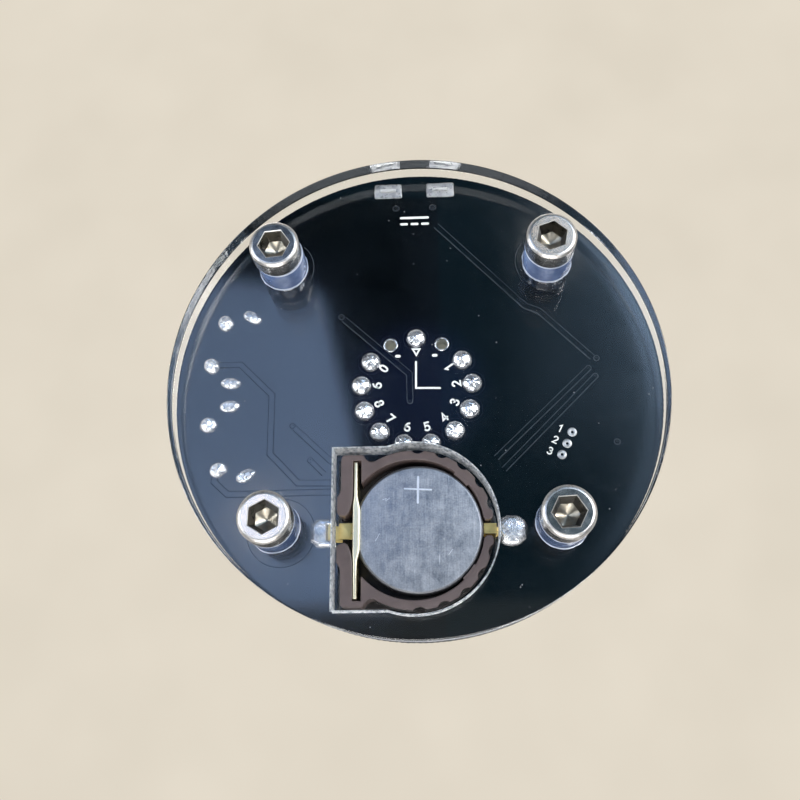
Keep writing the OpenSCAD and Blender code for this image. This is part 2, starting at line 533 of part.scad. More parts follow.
module boost_inductor() color([0.2, 0.2, 0.2]) translate([7.6, 15.7, z_top]) difference() {
  intersection() {
    block(-3, 3, -3, 3, 0, 2.9);
    rotate([0, 0, 45]) block(-3.75, 3.75, -3.75, 3.75, -1, 4);
  }
  translate([0, 0, 2.75]) ring(2.5, 2.3, 1);
}
module boost_switch() color([0.06, 0.06, 0.06]) translate([12.7, 7.2, z_top]) {
  block(-0.65, 0.65, -1.45, 1.45, 0.1, 1.1);
  for (y = [-0.95, 0.95]) translate([0.65, y, 0]) gull(1, 1, 0.4, 0.6, 0.6);
  rotate([0, 0, 180]) translate([0.65, 0, 0]) gull(1, 1, 0.4, 0.6, 0.6);
}
module boost_diode() color([0.1, 0.1, 0.1]) translate([12.3, 3.4, z_top]) {
  block(-2.15, 2.15, -1.3, 1.3, 0.15, 2.1);
  for (s = [-1, 1]) block(s*2.35 - 0.25, s*2.35 + 0.25, -0.75, 0.75, 0, 1);
}
module reservoir_capacitor() color([0.12, 0.14, 0.2]) translate([0.2, -17, z_top + 3.2]) rotate([0, 90, 0]) {
  rotate_extrude() polygon([[0, 0], [2.7, 0], [3.1, 0.3], [3.1, 1.2], [2.85, 1.6], [3.1, 2], [3.1, 10], [2.8, 10.3], [2.5, 10.15], [0, 10.15]]);
  for (y = [-1.25, 1.25]) {
    translate([0, y, -1.2]) cylinder(d = 0.5, h = 1.3, $fn = 32);
    translate([0, y, -1.2]) sphere(d = 0.5, $fn = 32);
    translate([0, y, -1.2]) rotate([0, 90, 0]) cylinder(d = 0.5, h = 3.2, $fn = 32);
  }
}
module chip_resistors() color([0.1, 0.1, 0.1])
  for (p = [[11.8, -9.4, 90], [13.6, -7.2, 90], [11.6, -5.6, 90], [13.6, -3.4, 90], [11.4, -1.8, 90], [13.2, 0.6, 0], [-12.4, 7.4, 0], [-15.6, 7.4, 0]])
    translate([p[0], p[1], 0]) rotate([0, 0, p[2]]) chip2(2, 1.25, 0.5);
module chip_capacitors() color([0.55, 0.45, 0.33])
  for (p = [[0, 11.6, 0], [0, 14.4, 0], [3, 18.2, 90], [-18.9, 7.2, 0], [-12.4, -8.4, 0], [-15.6, -8.4, 0], [-2.6, -21.8, 0]])
    translate([p[0], p[1], 0]) rotate([0, 0, p[2]]) chip2(2, 1.25, 0.9);

base_plate();
cap_screws();
foot_spacers();
board_spacers();
circuit_board();
standoffs();
top_plate();
top_screws();
tube_envelope();
tube_stem();
tube_seat();
tube_leads();
digit_0();
digit_1();
digit_2();
digit_3();
digit_4();
digit_5();
digit_6();
digit_7();
digit_8();
digit_9();
decimal_points();
anode_mesh();
rear_shield();
lower_insulator();
upper_insulator();
support_rods();
cathode_spacers();
getter();
battery_holder();
battery_spring();
battery_contact();
cell_can();
cell_gasket();
cell_cap();
usb_shell();
usb_insulator();
usb_contacts();
switch_1_body();
switch_1_bracket();
switch_1_button();
switch_2_body();
switch_2_bracket();
switch_2_button();
switch_terminals();
switch_domes();
pin_solder();
tab_solder();
microcontroller();
cathode_driver();
clock_chip();
crystal();
boost_inductor();
boost_switch();
boost_diode();
reservoir_capacitor();
chip_resistors();
chip_capacitors();
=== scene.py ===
import bpy
import bmesh
import json
import math
import random
from mathutils import Matrix, Vector, noise

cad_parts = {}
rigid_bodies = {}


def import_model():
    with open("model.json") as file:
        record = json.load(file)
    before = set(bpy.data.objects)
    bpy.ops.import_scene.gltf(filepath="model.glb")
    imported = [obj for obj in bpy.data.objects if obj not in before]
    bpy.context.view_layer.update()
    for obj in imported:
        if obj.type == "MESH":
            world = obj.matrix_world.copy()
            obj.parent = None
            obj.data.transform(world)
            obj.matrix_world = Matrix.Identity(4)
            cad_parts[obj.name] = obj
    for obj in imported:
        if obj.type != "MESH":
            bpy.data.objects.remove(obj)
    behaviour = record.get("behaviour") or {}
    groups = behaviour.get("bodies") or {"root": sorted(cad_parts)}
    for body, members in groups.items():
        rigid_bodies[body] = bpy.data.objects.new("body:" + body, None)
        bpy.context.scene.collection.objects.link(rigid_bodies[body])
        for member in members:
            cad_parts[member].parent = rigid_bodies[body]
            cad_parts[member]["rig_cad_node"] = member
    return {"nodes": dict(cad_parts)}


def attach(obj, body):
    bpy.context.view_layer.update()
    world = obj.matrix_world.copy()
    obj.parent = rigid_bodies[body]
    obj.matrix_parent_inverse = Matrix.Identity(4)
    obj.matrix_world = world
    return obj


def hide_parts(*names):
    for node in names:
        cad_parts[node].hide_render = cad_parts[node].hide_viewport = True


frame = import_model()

random.seed(7)
scene = bpy.context.scene
for o in list(scene.objects):
    if "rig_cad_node" not in o and not o.name.startswith("body:"):
        bpy.data.objects.remove(o)
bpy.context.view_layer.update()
NODE = frame["nodes"]
MM = 0.001
PI = math.pi

# ------------------------------------------------------------------ sizes, millimetres
Z_FOOT, Z_BASE, Z_GAP, Z_BOARD, Z_TOP, Z_PLATE, Z_COVER = 3.0, 5.65, 8.65, 10.15, 11.75, 19.75, 22.75
R_DISC = 25.0
SCREWS = [(-13.6, -14.4), (-13.6, 12.6), (13.6, -14.4), (13.6, 12.6)]
TURN = [57, 41, 32, 55]
LEAD_R = 5.75
OPEN = (1, 12)
HX, HY = 0.35, -14.5
CELL_X, CELL_Z = HX - 0.42, 7.35


# ------------------------------------------------------------------ shader graph helper
class Graph:
    def __init__(self, name):
        self.m = bpy.data.materials.new(name)
        self.m.use_nodes = True
        self.nt = self.m.node_tree
        self.nt.nodes.clear()
        self.out = self.nt.nodes.new("ShaderNodeOutputMaterial")
        self._co = None

    def n(self, kind, **kw):
        node = self.nt.nodes.new(kind)
        for k, v in kw.items():
            setattr(node, k, v)
        return node

    def link(self, a, b):
        self.nt.links.new(a, b)

    def co(self):
        if self._co is None:
            self._co = self.n("ShaderNodeTexCoord").outputs["Object"]
        return self._co

    def mapped(self, scale, rot=(0, 0, 0), vec=None):
        mp = self.n("ShaderNodeMapping")
        mp.inputs["Scale"].default_value = scale
        mp.inputs["Rotation"].default_value = rot
        self.link(vec or self.co(), mp.inputs["Vector"])
        return mp.outputs["Vector"]

    def noise(self, size_mm, detail=3.0, rough=0.5, stretch=None, rot=(0, 0, 0), distort=0.0, vec=None):
        t = self.n("ShaderNodeTexNoise")
        t.inputs["Scale"].default_value = 1000.0 / size_mm
        t.inputs["Detail"].default_value = detail
        t.inputs["Roughness"].default_value = rough
        t.inputs["Distortion"].default_value = distort
        v = vec or self.co()
        if stretch:
            v = self.mapped(stretch, rot, v)
        self.link(v, t.inputs["Vector"])
        return t.outputs["Fac"]

    def voronoi(self, size_mm, feature="F1", out="Distance", rnd=1.0, vec=None):
        t = self.n("ShaderNodeTexVoronoi", feature=feature)
        t.inputs["Scale"].default_value = 1000.0 / size_mm
        t.inputs["Randomness"].default_value = rnd
        self.link(vec or self.co(), t.inputs["Vector"])
        return t.outputs[out]

    def ramp(self, fac, stops, interp="LINEAR"):
        r = self.n("ShaderNodeValToRGB")
        r.color_ramp.interpolation = interp
        el = r.color_ramp.elements
        while len(el) < len(stops):
            el.new(0.5)
        for e, (p, c) in zip(el, stops):
            e.position = p
            e.color = (*c, 1.0) if len(c) == 3 else c
        self.link(fac, r.inputs["Fac"])
        return r.outputs["Color"]

    def rng(self, fac, lo, hi, a=0.0, b=1.0):
        r = self.n("ShaderNodeMapRange")
        r.inputs["From Min"].default_value = a
        r.inputs["From Max"].default_value = b
        r.inputs["To Min"].default_value = lo
        r.inputs["To Max"].default_value = hi
        self.link(fac, r.inputs["Value"])
        return r.outputs["Result"]

    def math(self, op, a, b=None, c=None):
        r = self.n("ShaderNodeMath", operation=op)
        for i, v in enumerate((a, b, c)):
            if v is None:
                continue
            if isinstance(v, (int, float)):
                r.inputs[i].default_value = v
            else:
                self.link(v, r.inputs[i])
        return r.outputs[0]

    def mixc(self, fac, a, b, blend="MIX"):
        r = self.n("ShaderNodeMix", data_type="RGBA", blend_type=blend)
        for sock, v in ((r.inputs[0], fac), (r.inputs[6], a), (r.inputs[7], b)):
            if isinstance(v, (int, float)):
                sock.default_value = v
            elif isinstance(v, tuple):
                sock.default_value = (*v, 1.0)
            else:
                self.link(v, sock)
        return r.outputs[2]

    def bump(self, height, strength, dist_mm, normal=None):
        b = self.n("ShaderNodeBump")
        b.inputs["Strength"].default_value = strength
        b.inputs["Distance"].default_value = dist_mm * MM
        self.link(height, b.inputs["Height"])
        if normal:
            self.link(normal, b.inputs["Normal"])
        return b.outputs["Normal"]

    def xyz(self):
        s = self.n("ShaderNodeSeparateXYZ")
        self.link(self.co(), s.inputs[0])
        return s.outputs

    def principled(self, color=None, rough=None, normal=None, **const):
        p = self.n("ShaderNodeBsdfPrincipled")
        names = {"metallic": "Metallic", "ior": "IOR", "trans": "Transmission Weight", "coat": "Coat Weight",
                 "coat_rough": "Coat Roughness", "spec": "Specular IOR Level", "sss": "Subsurface Weight",
                 "sss_scale": "Subsurface Scale", "aniso": "Anisotropic", "sheen": "Sheen Weight", "alpha": "Alpha"}
        for k, v in const.items():
            p.inputs[names[k]].default_value = v
        for sock, v in (("Base Color", color), ("Roughness", rough), ("Normal", normal)):
            if v is None:
                continue
            if isinstance(v, (int, float)):
                p.inputs[sock].default_value = v
            elif isinstance(v, tuple):
                p.inputs[sock].default_value = (*v, 1.0)
            else:
                self.link(v, p.inputs[sock])
        return p.outputs[0]

    def done(self, shader):
        self.link(shader, self.out.inputs["Surface"])
        return self.m

    def clear_to_lamps(self, shader, tint=(1, 1, 1)):
        """The same shader, which lets the light of the lamps through."""
        lp = self.n("ShaderNodeLightPath")
        tr = self.n("ShaderNodeBsdfTransparent")
        tr.inputs["Color"].default_value = (*tint, 1.0)
        mx = self.n("ShaderNodeMixShader")
        self.link(lp.outputs["Is Shadow Ray"], mx.inputs[0])
        self.link(shader, mx.inputs[1])
        self.link(tr.outputs[0], mx.inputs[2])
        return mx.outputs[0]

    def faint_in_mirrors(self, shader, share=0.80):
        """The same shader, with a weak image in glossy faces."""
        lp = self.n("ShaderNodeLightPath")
        tr = self.n("ShaderNodeBsdfTransparent")
        mx = self.n("ShaderNodeMixShader")
        self.link(self.math("MULTIPLY", lp.outputs["Is Glossy Ray"], share), mx.inputs[0])
        self.link(shader, mx.inputs[1])
        self.link(tr.outputs[0], mx.inputs[2])
        return mx.outputs[0]


# ------------------------------------------------------------------ materials
def m_acrylic(name):
    g = Graph(name)
    smear = g.noise(5.0, 3, 0.6)
    rough = g.rng(smear, 0.0, 0.022, 0.42, 0.8)
    body = g.principled(color=(0.985, 0.992, 0.995), rough=rough, trans=1.0, ior=1.49)
    # a few grains of dust lie on the polished faces
    v = g.n("ShaderNodeTexVoronoi", voronoi_dimensions="2D")
    v.inputs["Scale"].default_value = 1000.0 / 2.4
    g.link(g.co(), v.inputs["Vector"])
    speck = g.ramp(v.outputs["Distance"], [(0.0, (1, 1, 1)), (0.018, (1, 1, 1)), (0.028, (0, 0, 0))])
    keep = g.ramp(g.noise(4.2, 1), [(0.63, (0, 0, 0)), (0.66, (1, 1, 1))])
    mask = g.math("MULTIPLY", speck, keep)
    dust = g.principled(color=g.ramp(g.noise(0.3), [(0.3, (0.15, 0.16, 0.18)), (0.7, (0.40, 0.41, 0.43))]), rough=0.8)
    mx = g.n("ShaderNodeMixShader")
    g.link(mask, mx.inputs[0])
    g.link(body, mx.inputs[1])
    g.link(dust, mx.inputs[2])
    return g.done(g.clear_to_lamps(mx.outputs[0], (0.93, 0.95, 0.96)))


def angle_coords(g, z_scale=0.12):
    x, y, z = g.xyz()
    a = g.math("MULTIPLY", g.math("ARCTAN2", y, x), 0.025)
    zz = g.math("MULTIPLY", z, z_scale)
    c = g.n("ShaderNodeCombineXYZ")
    g.link(a, c.inputs[0])
    g.link(zz, c.inputs[1])
    return c.outputs[0]


def m_acrylic_rim(name):
    g = Graph(name)
    ac = angle_coords(g, 0.05)
    fine = g.noise(0.45, 3, 0.65, vec=ac)
    band = g.noise(2.6, 2, 0.5, vec=ac)
    where = g.ramp(band, [(0.42, (0.15, 0.15, 0.15)), (0.62, (1, 1, 1))])
    h = g.math("MULTIPLY", fine, where)
    nrm = g.bump(h, 1.0, 0.06)
    rough = g.rng(where, 0.02, 0.09)
    body = g.principled(color=(0.97, 0.985, 0.99), rough=rough, normal=nrm, trans=1.0, ior=1.49)
    return g.done(g.clear_to_lamps(body, (0.9, 0.93, 0.95)))


def m_acrylic_cut(name):
    g = Graph(name)
    f = g.noise(0.42, 4, 0.7, stretch=(1, 1, 0.5))
    col = g.ramp(f, [(0.40, (0.26, 0.28, 0.31)), (0.49, (0.72, 0.75, 0.79)), (0.58, (1.0, 1.0, 1.0))])
    nrm = g.bump(f, 1.0, 0.16)
    body = g.principled(color=col, rough=g.rng(f, 0.28, 0.55), normal=nrm, trans=0.55, ior=1.49)
    return g.done(g.clear_to_lamps(body, (0.85, 0.87, 0.9)))


def m_mask(name, lift=1.0):
    g = Graph(name)
    weave_x = g.noise(0.22, 1, 0.4, stretch=(1, 0.12, 1))
    weave_y = g.noise(0.22, 1, 0.4, stretch=(0.12, 1, 1))
    weave = g.math("ADD", weave_x, weave_y)
    blotch = g.noise(3.5, 4, 0.55)
    c = [(0.0006, 0.0013, 0.0019), (0.0011, 0.0021, 0.0030), (0.0019, 0.0032, 0.0042)]
    col = g.ramp(blotch, [(0.3, tuple(v * lift for v in c[0])), (0.55, tuple(v * lift for v in c[1])), (0.8, tuple(v * lift for v in c[2]))])
    nrm = g.bump(weave, 0.02, 0.02)
    rough = g.rng(g.noise(1.2, 4, 0.6), 0.09, 0.15, 0.3, 0.7)
    return g.done(g.principled(color=col, rough=rough, normal=nrm, ior=1.68))


def m_step(name, c):
    """The dull slope where the lacquer runs over the edge of the copper."""
    g = Graph(name)
    f = g.noise(0.5, 3, 0.6)
    col = g.ramp(f, [(0.3, tuple(v * 0.75 for v in c)), (0.7, tuple(v * 1.25 for v in c))])
    return g.done(g.principled(color=col, rough=g.rng(f, 0.75, 0.9), normal=g.bump(f, 0.1, 0.02), spec=0.0))


def m_laminate_edge(name):
    g = Graph(name)
    ac = angle_coords(g, 0.02)
    s = g.noise(0.22, 3, 0.7, vec=ac)
    layer = g.noise(0.25, 2, 0.5, stretch=(0.05, 0.05, 1))
    col = g.ramp(s, [(0.32, (0.004, 0.0035, 0.003)), (0.5, (0.016, 0.012, 0.009)), (0.72, (0.055, 0.041, 0.028))])
    nrm = g.bump(g.math("ADD", s, layer), 0.6, 0.04)
    return g.done(g.principled(color=col, rough=g.rng(s, 0.45, 0.75), normal=nrm))


def m_silk(name):
    g = Graph(name)
    f = g.noise(0.09, 3, 0.6)
    col = g.ramp(f, [(0.25, (0.62, 0.64, 0.66)), (0.45, (0.86, 0.87, 0.87)), (0.8, (0.92, 0.92, 0.91))])
    return g.done(g.principled(color=col, rough=g.rng(f, 0.45, 0.65), normal=g.bump(f, 0.3, 0.01)))


def m_solder(name, dull=0.0, tone=1.0, crinkle=0.16, stain=0.27, bare=1.0):
    g = Graph(name)
    f = g.noise(0.9, 3, 0.5)
    grit = g.noise(0.12, 3, 0.6)
    fold = g.noise(0.40, 4, 0.6, distort=0.6)
    c = [(0.55, 0.55, 0.57), (0.76, 0.76, 0.78), (0.86, 0.86, 0.87)]
    col = g.ramp(f, [(q, tuple(v * tone for v in k)) for q, k in zip((0.30, 0.5, 0.7), c)])
    flux = g.ramp(g.noise(0.34, 4, 0.7, distort=0.4), [(stain, (0.22, 0.21, 0.20)), (stain + 0.10, (1, 1, 1))])
    col = g.mixc(0.8, col, flux, "MULTIPLY")
    h = g.math("ADD", g.math("MULTIPLY", fold, 0.75), g.math("MULTIPLY", grit, 0.25))
    nrm = g.bump(h, crinkle, 0.10)
    return g.done(g.principled(color=col, rough=g.rng(f, 0.16 + dull, 0.30 + dull, 0.3, 0.7), normal=nrm, metallic=bare))


def m_screw(name, c=(0.57, 0.555, 0.54), rough=(0.11, 0.22), var=0.2):
    g = Graph(name)
    f = g.noise(0.8, 4, 0.6)
    scr = g.noise(0.05, 2, 0.5, stretch=(1, 0.06, 0.4), rot=(0, 0, 0.5))
    wear = g.noise(0.42, 4, 0.65)
    col = g.ramp(f, [(0.30, tuple(v * (1 - var) for v in c)), (0.55, c), (0.75, tuple(v * (1 + var) for v in c))])
    spot = g.ramp(wear, [(0.29, (0.50, 0.36, 0.26)), (0.37, (1, 1, 1))])
    col = g.mixc(0.6, col, spot, "MULTIPLY")
    r = g.rng(g.math("ADD", g.math("MULTIPLY", f, 0.6), g.math("MULTIPLY", scr, 0.4)), rough[0], rough[1], 0.3, 0.7)
    nrm = g.bump(g.math("ADD", scr, wear), 0.08, 0.02)
    return g.done(g.faint_in_mirrors(g.principled(color=col, rough=r, normal=nrm, metallic=1.0)))


def m_rim(name):
    """The tumbled round of a screw head: plating over small pits."""
    g = Graph(name)
    f = g.noise(0.7, 4, 0.6)
    pit = g.noise(0.13, 4, 0.7)
    mixed = g.math("ADD", g.math("MULTIPLY", f, 0.4), g.math("MULTIPLY", pit, 0.6))
    col = g.ramp(mixed, [(0.34, (0.30, 0.24, 0.20)), (0.45, (0.70, 0.66, 0.62)), (0.62, (0.92, 0.90, 0.88))])
    body = g.principled(color=col, rough=g.rng(mixed, 0.42, 0.26, 0.35, 0.65), normal=g.bump(pit, 0.35, 0.05), metallic=1.0)
    return g.done(g.faint_in_mirrors(body))


def m_nylon(name, c=((0.075, 0.125, 0.27), (0.10, 0.16, 0.32), (0.16, 0.23, 0.41)), trans=0.6):
    g = Graph(name)
    f = g.noise(0.9, 3, 0.5)
    fine = g.noise(0.08, 2, 0.5, stretch=(1, 1, 0.2))
    col = g.ramp(f, [(0.3, c[0]), (0.55, c[1]), (0.8, c[2])])
    body = g.principled(color=col, rough=g.rng(f, 0.16, 0.26), normal=g.bump(fine, 0.12, 0.02), trans=trans, ior=1.53)
    return g.done(g.faint_in_mirrors(g.clear_to_lamps(body, (0.30, 0.36, 0.52))))


def plastic(name, c, rough=(0.35, 0.5), grain=0.12, strength=0.2, var=0.25, spec=0.5, coat=0.0, coat_rough=0.1):
    g = Graph(name)
    f = g.noise(1.6, 4, 0.6)
    fine = g.noise(grain, 3, 0.6)
    lo = tuple(v * (1 - var) for v in c)
    hi = tuple(min(1.0, v * (1 + var)) for v in c)
    col = g.ramp(f, [(0.28, lo), (0.5, c), (0.74, hi)])
    return g.done(g.principled(color=col, rough=g.rng(g.math("ADD", g.math("MULTIPLY", f, 0.5), g.math("MULTIPLY", fine, 0.5)), rough[0], rough[1], 0.3, 0.7),
                               normal=g.bump(fine, strength, grain * 0.25), spec=spec, coat=coat, coat_rough=coat_rough))


def metal(name, c, rough=(0.2, 0.4), var=0.22, streak=None, strength=0.12, grain=0.2):
    g = Graph(name)
    f = g.noise(1.3, 4, 0.6)
    fine = g.noise(grain, 3, 0.6, stretch=streak) if streak else g.noise(grain, 3, 0.6)
    lo = tuple(v * (1 - var) for v in c)
    hi = tuple(min(1.0, v * (1 + var)) for v in c)
    mixed = g.math("ADD", g.math("MULTIPLY", f, 0.55), g.math("MULTIPLY", fine, 0.45))
    col = g.ramp(mixed, [(0.30, lo), (0.5, c), (0.72, hi)])
    return g.done(g.principled(color=col, rough=g.rng(mixed, rough[0], rough[1], 0.32, 0.68), normal=g.bump(fine, strength, grain * 0.2), metallic=1.0))


def m_cell(name):
    g = Graph(name)
    streak = g.noise(0.16, 3, 0.6, stretch=(1, 0.06, 1), rot=(0, 0, 0.06))
    cloud = g.noise(1.5, 5, 0.7)
    scratch = g.noise(0.10, 2, 0.5, stretch=(1, 0.02, 1), rot=(0, 0, -0.25))
    dots = g.noise(0.16, 4, 0.75)
    mix1 = g.math("ADD", g.math("ADD", g.math("MULTIPLY", streak, 0.22), g.math("MULTIPLY", cloud, 0.40)), g.math("MULTIPLY", dots, 0.38))
    col = g.ramp(mix1, [(0.36, (0.28, 0.295, 0.33)), (0.5, (0.42, 0.435, 0.465)), (0.64, (0.58, 0.59, 0.62))])
    line = g.ramp(scratch, [(0.74, (0, 0, 0)), (0.78, (1, 1, 1))])
    col = g.mixc(line, col, (0.75, 0.76, 0.78))
    rough = g.rng(mix1, 0.30, 0.50, 0.38, 0.62)
    nrm = g.bump(g.math("ADD", streak, dots), 0.14, 0.02)
    return g.done(g.principled(color=col, rough=rough, normal=nrm, metallic=1.0))


def m_glass(name, tint=(0.985, 0.995, 0.99)):
    g = Graph(name)
    f = g.noise(6.0, 2, 0.5)
    nrm = g.bump(f, 0.05, 0.3)
    body = g.principled(color=tint, rough=g.rng(g.noise(3.0, 3), 0.0, 0.012, 0.45, 0.8), normal=nrm, trans=1.0, ior=1.5)
    return g.done(g.clear_to_lamps(body, (0.95, 0.97, 0.97)))


ACRYLIC = m_acrylic("clear_acrylic")
ACRYLIC_RIM = m_acrylic_rim("acrylic_laser_edge")
ACRYLIC_CUT = m_acrylic_cut("acrylic_cut_wall")
MASK = m_mask("black_solder_mask")
EDGE = m_laminate_edge("laminate_edge")
SILK = m_silk("white_silkscreen")
SOLDER = m_solder("bright_solder")
PIN_SOLDER = m_solder("pin_solder", -0.06, 1.14, 0.24, 0.33, 0.93)
TAB_SOLDER = m_solder("tab_solder", -0.03, 1.14, 0.85, 0.31, 0.96)
TINNED = m_solder("tinned_pad", 0.16, 0.72)
SOCKET_PAD = m_solder("socket_pad", 0.14, 0.55, 0.60, 0.34)
SCREW = m_screw("screw_steel", (0.66, 0.605, 0.545), (0.12, 0.24), 0.16)
SCREW_RIM = m_rim("screw_rim")
# a paler copy of the steel on the side of each head: painted light, so the sides look lit
SCREW_SIDE_LIGHTENED = m_screw("screw_side_painted_light", (0.76, 0.725, 0.69), (0.20, 0.30), 0.14)
# a pale, rough copy of the steel on the socket's chamfer: a painted highlight along its mouth
SOCKET_LIP_HIGHLIGHT = m_screw("socket_lip_painted_highlight", (0.92, 0.90, 0.87), (0.38, 0.50), 0.10)
# dark copies of the steel for the socket's walls and its end: painted shade inside the hex recess
SOCKET = m_screw("socket_wall_painted_shade", (0.10, 0.09, 0.07), (0.24, 0.38), 0.35)
SOCKET_END_SHADE = m_screw("socket_end_painted_shade", (0.40, 0.365, 0.30), (0.26, 0.40), 0.25)
NYLON = m_nylon("translucent_nylon", ((0.105, 0.165, 0.345), (0.14, 0.21, 0.41), (0.22, 0.30, 0.52)), 0.45)
# a darker copy of the nylon for the spacers with y < 0: painted shade
NYLON_SHADED = m_nylon("nylon_painted_shade", ((0.045, 0.085, 0.20), (0.065, 0.115, 0.25), (0.11, 0.17, 0.33)), 0.45)
# pale nylon for the rounded ends of the foot spacers: a painted highlight along both ends
NYLON_HIGHLIGHT = m_nylon("nylon_painted_highlight", ((0.52, 0.58, 0.74), (0.66, 0.71, 0.84), (0.80, 0.84, 0.92)), 0.2)
NYLON_DARK = plastic("dark_nylon", (0.004, 0.005, 0.008), (0.08, 0.14), 0.3, 0.03)
HOLDER = plastic("brown_moulding", (0.098, 0.072, 0.068), (0.36, 0.52), 0.10, 0.2, 0.15)
# a nearly black copy of the brown moulding: painted shade in the flutes and on the floor under the holder
HOLDER_SHADE = plastic("brown_moulding_painted_shade", (0.010, 0.0075, 0.0072), (0.5, 0.65), 0.10, 0.2, 0.15)
GOLD_TAB = metal("gold_tab", (0.93, 0.70, 0.27), (0.26, 0.38), 0.07, None, 0.05, 0.35)
# a paler copy of the gold plating for the spring's lip: a painted highlight
SPRING_HIGHLIGHT = metal("spring_gold_painted_highlight", (1.0, 0.92, 0.68), (0.32, 0.46), 0.06, None, 0.05, 0.35)
GOLD = metal("gold_plate", (0.98, 0.80, 0.42), (0.24, 0.36), 0.07, None, 0.05, 0.35)
CELL = m_cell("brushed_cell")
# a darker, duller copy of the cell steel for its rounded edge and side: painted shade
CELL_EDGE_SHADE = metal("cell_edge_painted_shade", (0.20, 0.205, 0.22), (0.40, 0.55), 0.2, None, 0.1, 0.15)
CELL_MARK = metal("stamped_mark", (0.88, 0.89, 0.92), (0.36, 0.5), 0.08)
SCRATCH = plastic("frosted_scratch", (0.12, 0.135, 0.155), (0.5, 0.7), 0.1, 0.2, 0.3)
TRACK = m_mask("lacquer_over_copper", 1.5)
# the lacquer's slope over the copper in three copies of one material: a dark one that is painted shade, a light one
# that is a painted highlight, and a faint one that is a dimmer painted highlight
STEP_SHADED = m_step("lacquer_step_painted_shade", (0.004, 0.005, 0.006))
STEP_HIGHLIGHT = m_step("lacquer_step_painted_highlight", (0.040, 0.048, 0.060))
STEP_DIM_HIGHLIGHT = m_step("lacquer_step_dim_painted_highlight", (0.011, 0.013, 0.021))
GASKET = plastic("seal", (0.02, 0.02, 0.021))
BRASS = metal("turned_brass", (0.70, 0.52, 0.24), (0.20, 0.30), 0.06, (1, 1, 0.08), 0.10, 0.12)
GLASS = m_glass("bulb_glass")
STEM = m_glass("stem_glass", (0.93, 0.97, 0.96))
SEAT = plastic("seat_moulding", (0.58, 0.555, 0.40), (0.4, 0.55), 0.15, 0.15, 0.15)
WIRE = metal("tinned_wire", (0.66, 0.65, 0.62), (0.22, 0.4), 0.2, (1, 1, 0.1))
NICKEL = metal("etched_nickel", (0.56, 0.54, 0.49), (0.26, 0.40), 0.10)
MESH_N = metal("mesh_nickel", (0.38, 0.37, 0.35), (0.30, 0.45), 0.12)
SHIELD = metal("grey_shield", (0.20, 0.20, 0.20), (0.38, 0.55), 0.3)
MICA = plastic("mica_sheet", (0.62, 0.56, 0.42), (0.2, 0.4), 0.4, 0.1, 0.2)
CERAMIC = plastic("white_ceramic", (0.80, 0.78, 0.72), (0.3, 0.45), 0.1, 0.1, 0.08)
GETTER = metal("getter_ring", (0.16, 0.15, 0.15), (0.3, 0.5), 0.3)
TINSHEET = metal("tin_plated_sheet", (0.64, 0.64, 0.63), (0.24, 0.34), 0.05, (0.1, 1, 1), 0.05)
BLACK = plastic("black_moulding", (0.016, 0.016, 0.017), (0.34, 0.5), 0.14, 0.22, 0.3)
EPOXY = plastic("chip_epoxy", (0.020, 0.020, 0.021), (0.45, 0.62), 0.07, 0.35, 0.25)
FERRITE = plastic("ferrite", (0.055, 0.055, 0.057), (0.5, 0.7), 0.09, 0.35, 0.3)
SLEEVE = plastic("shrink_sleeve", (0.012, 0.013, 0.016), (0.26, 0.36), 0.5, 0.04, 0.10)
BAND = plastic("sleeve_band", (0.42, 0.42, 0.40), (0.30, 0.42), 0.3, 0.05, 0.06)
RUBBER = plastic("bung_rubber", (0.022, 0.021, 0.020), (0.55, 0.7), 0.1, 0.2, 0.2)
COPPER = metal("enamelled_copper", (0.62, 0.30, 0.13), (0.25, 0.38), 0.12, (0.2, 0.2, 1))
LEG = metal("tinned_leg", (0.62, 0.62, 0.61), (0.24, 0.38), 0.10)
BISCUIT = plastic("alumina", (0.70, 0.69, 0.66), (0.45, 0.6), 0.1, 0.15, 0.06)
CHIP_R = plastic("resistor_glaze", (0.018, 0.018, 0.019), (0.25, 0.4), 0.2, 0.08, 0.3)
CHIP_C = plastic("capacitor_ceramic", (0.34, 0.25, 0.15), (0.4, 0.55), 0.12, 0.15, 0.15)
CANTOP = metal("aluminium_can", (0.72, 0.72, 0.72), (0.25, 0.4), 0.12)


# ------------------------------------------------------------------ mesh helpers
def finish_mesh(name, me, mats, body, rep, angle):
    me.validate()
    for m in mats:
        me.materials.append(m)
    bm = bmesh.new()
    bm.from_mesh(me)
    bmesh.ops.recalc_face_normals(bm, faces=bm.faces)
    bm.to_mesh(me)
    bm.free()
    me.polygons.foreach_set("use_smooth", [True] * len(me.polygons))
    me.set_sharp_from_angle(angle=math.radians(angle))
    ob = bpy.data.objects.new(name, me)
    scene.collection.objects.link(ob)
    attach(ob, body)
    if rep:
        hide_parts(*rep)
    return ob


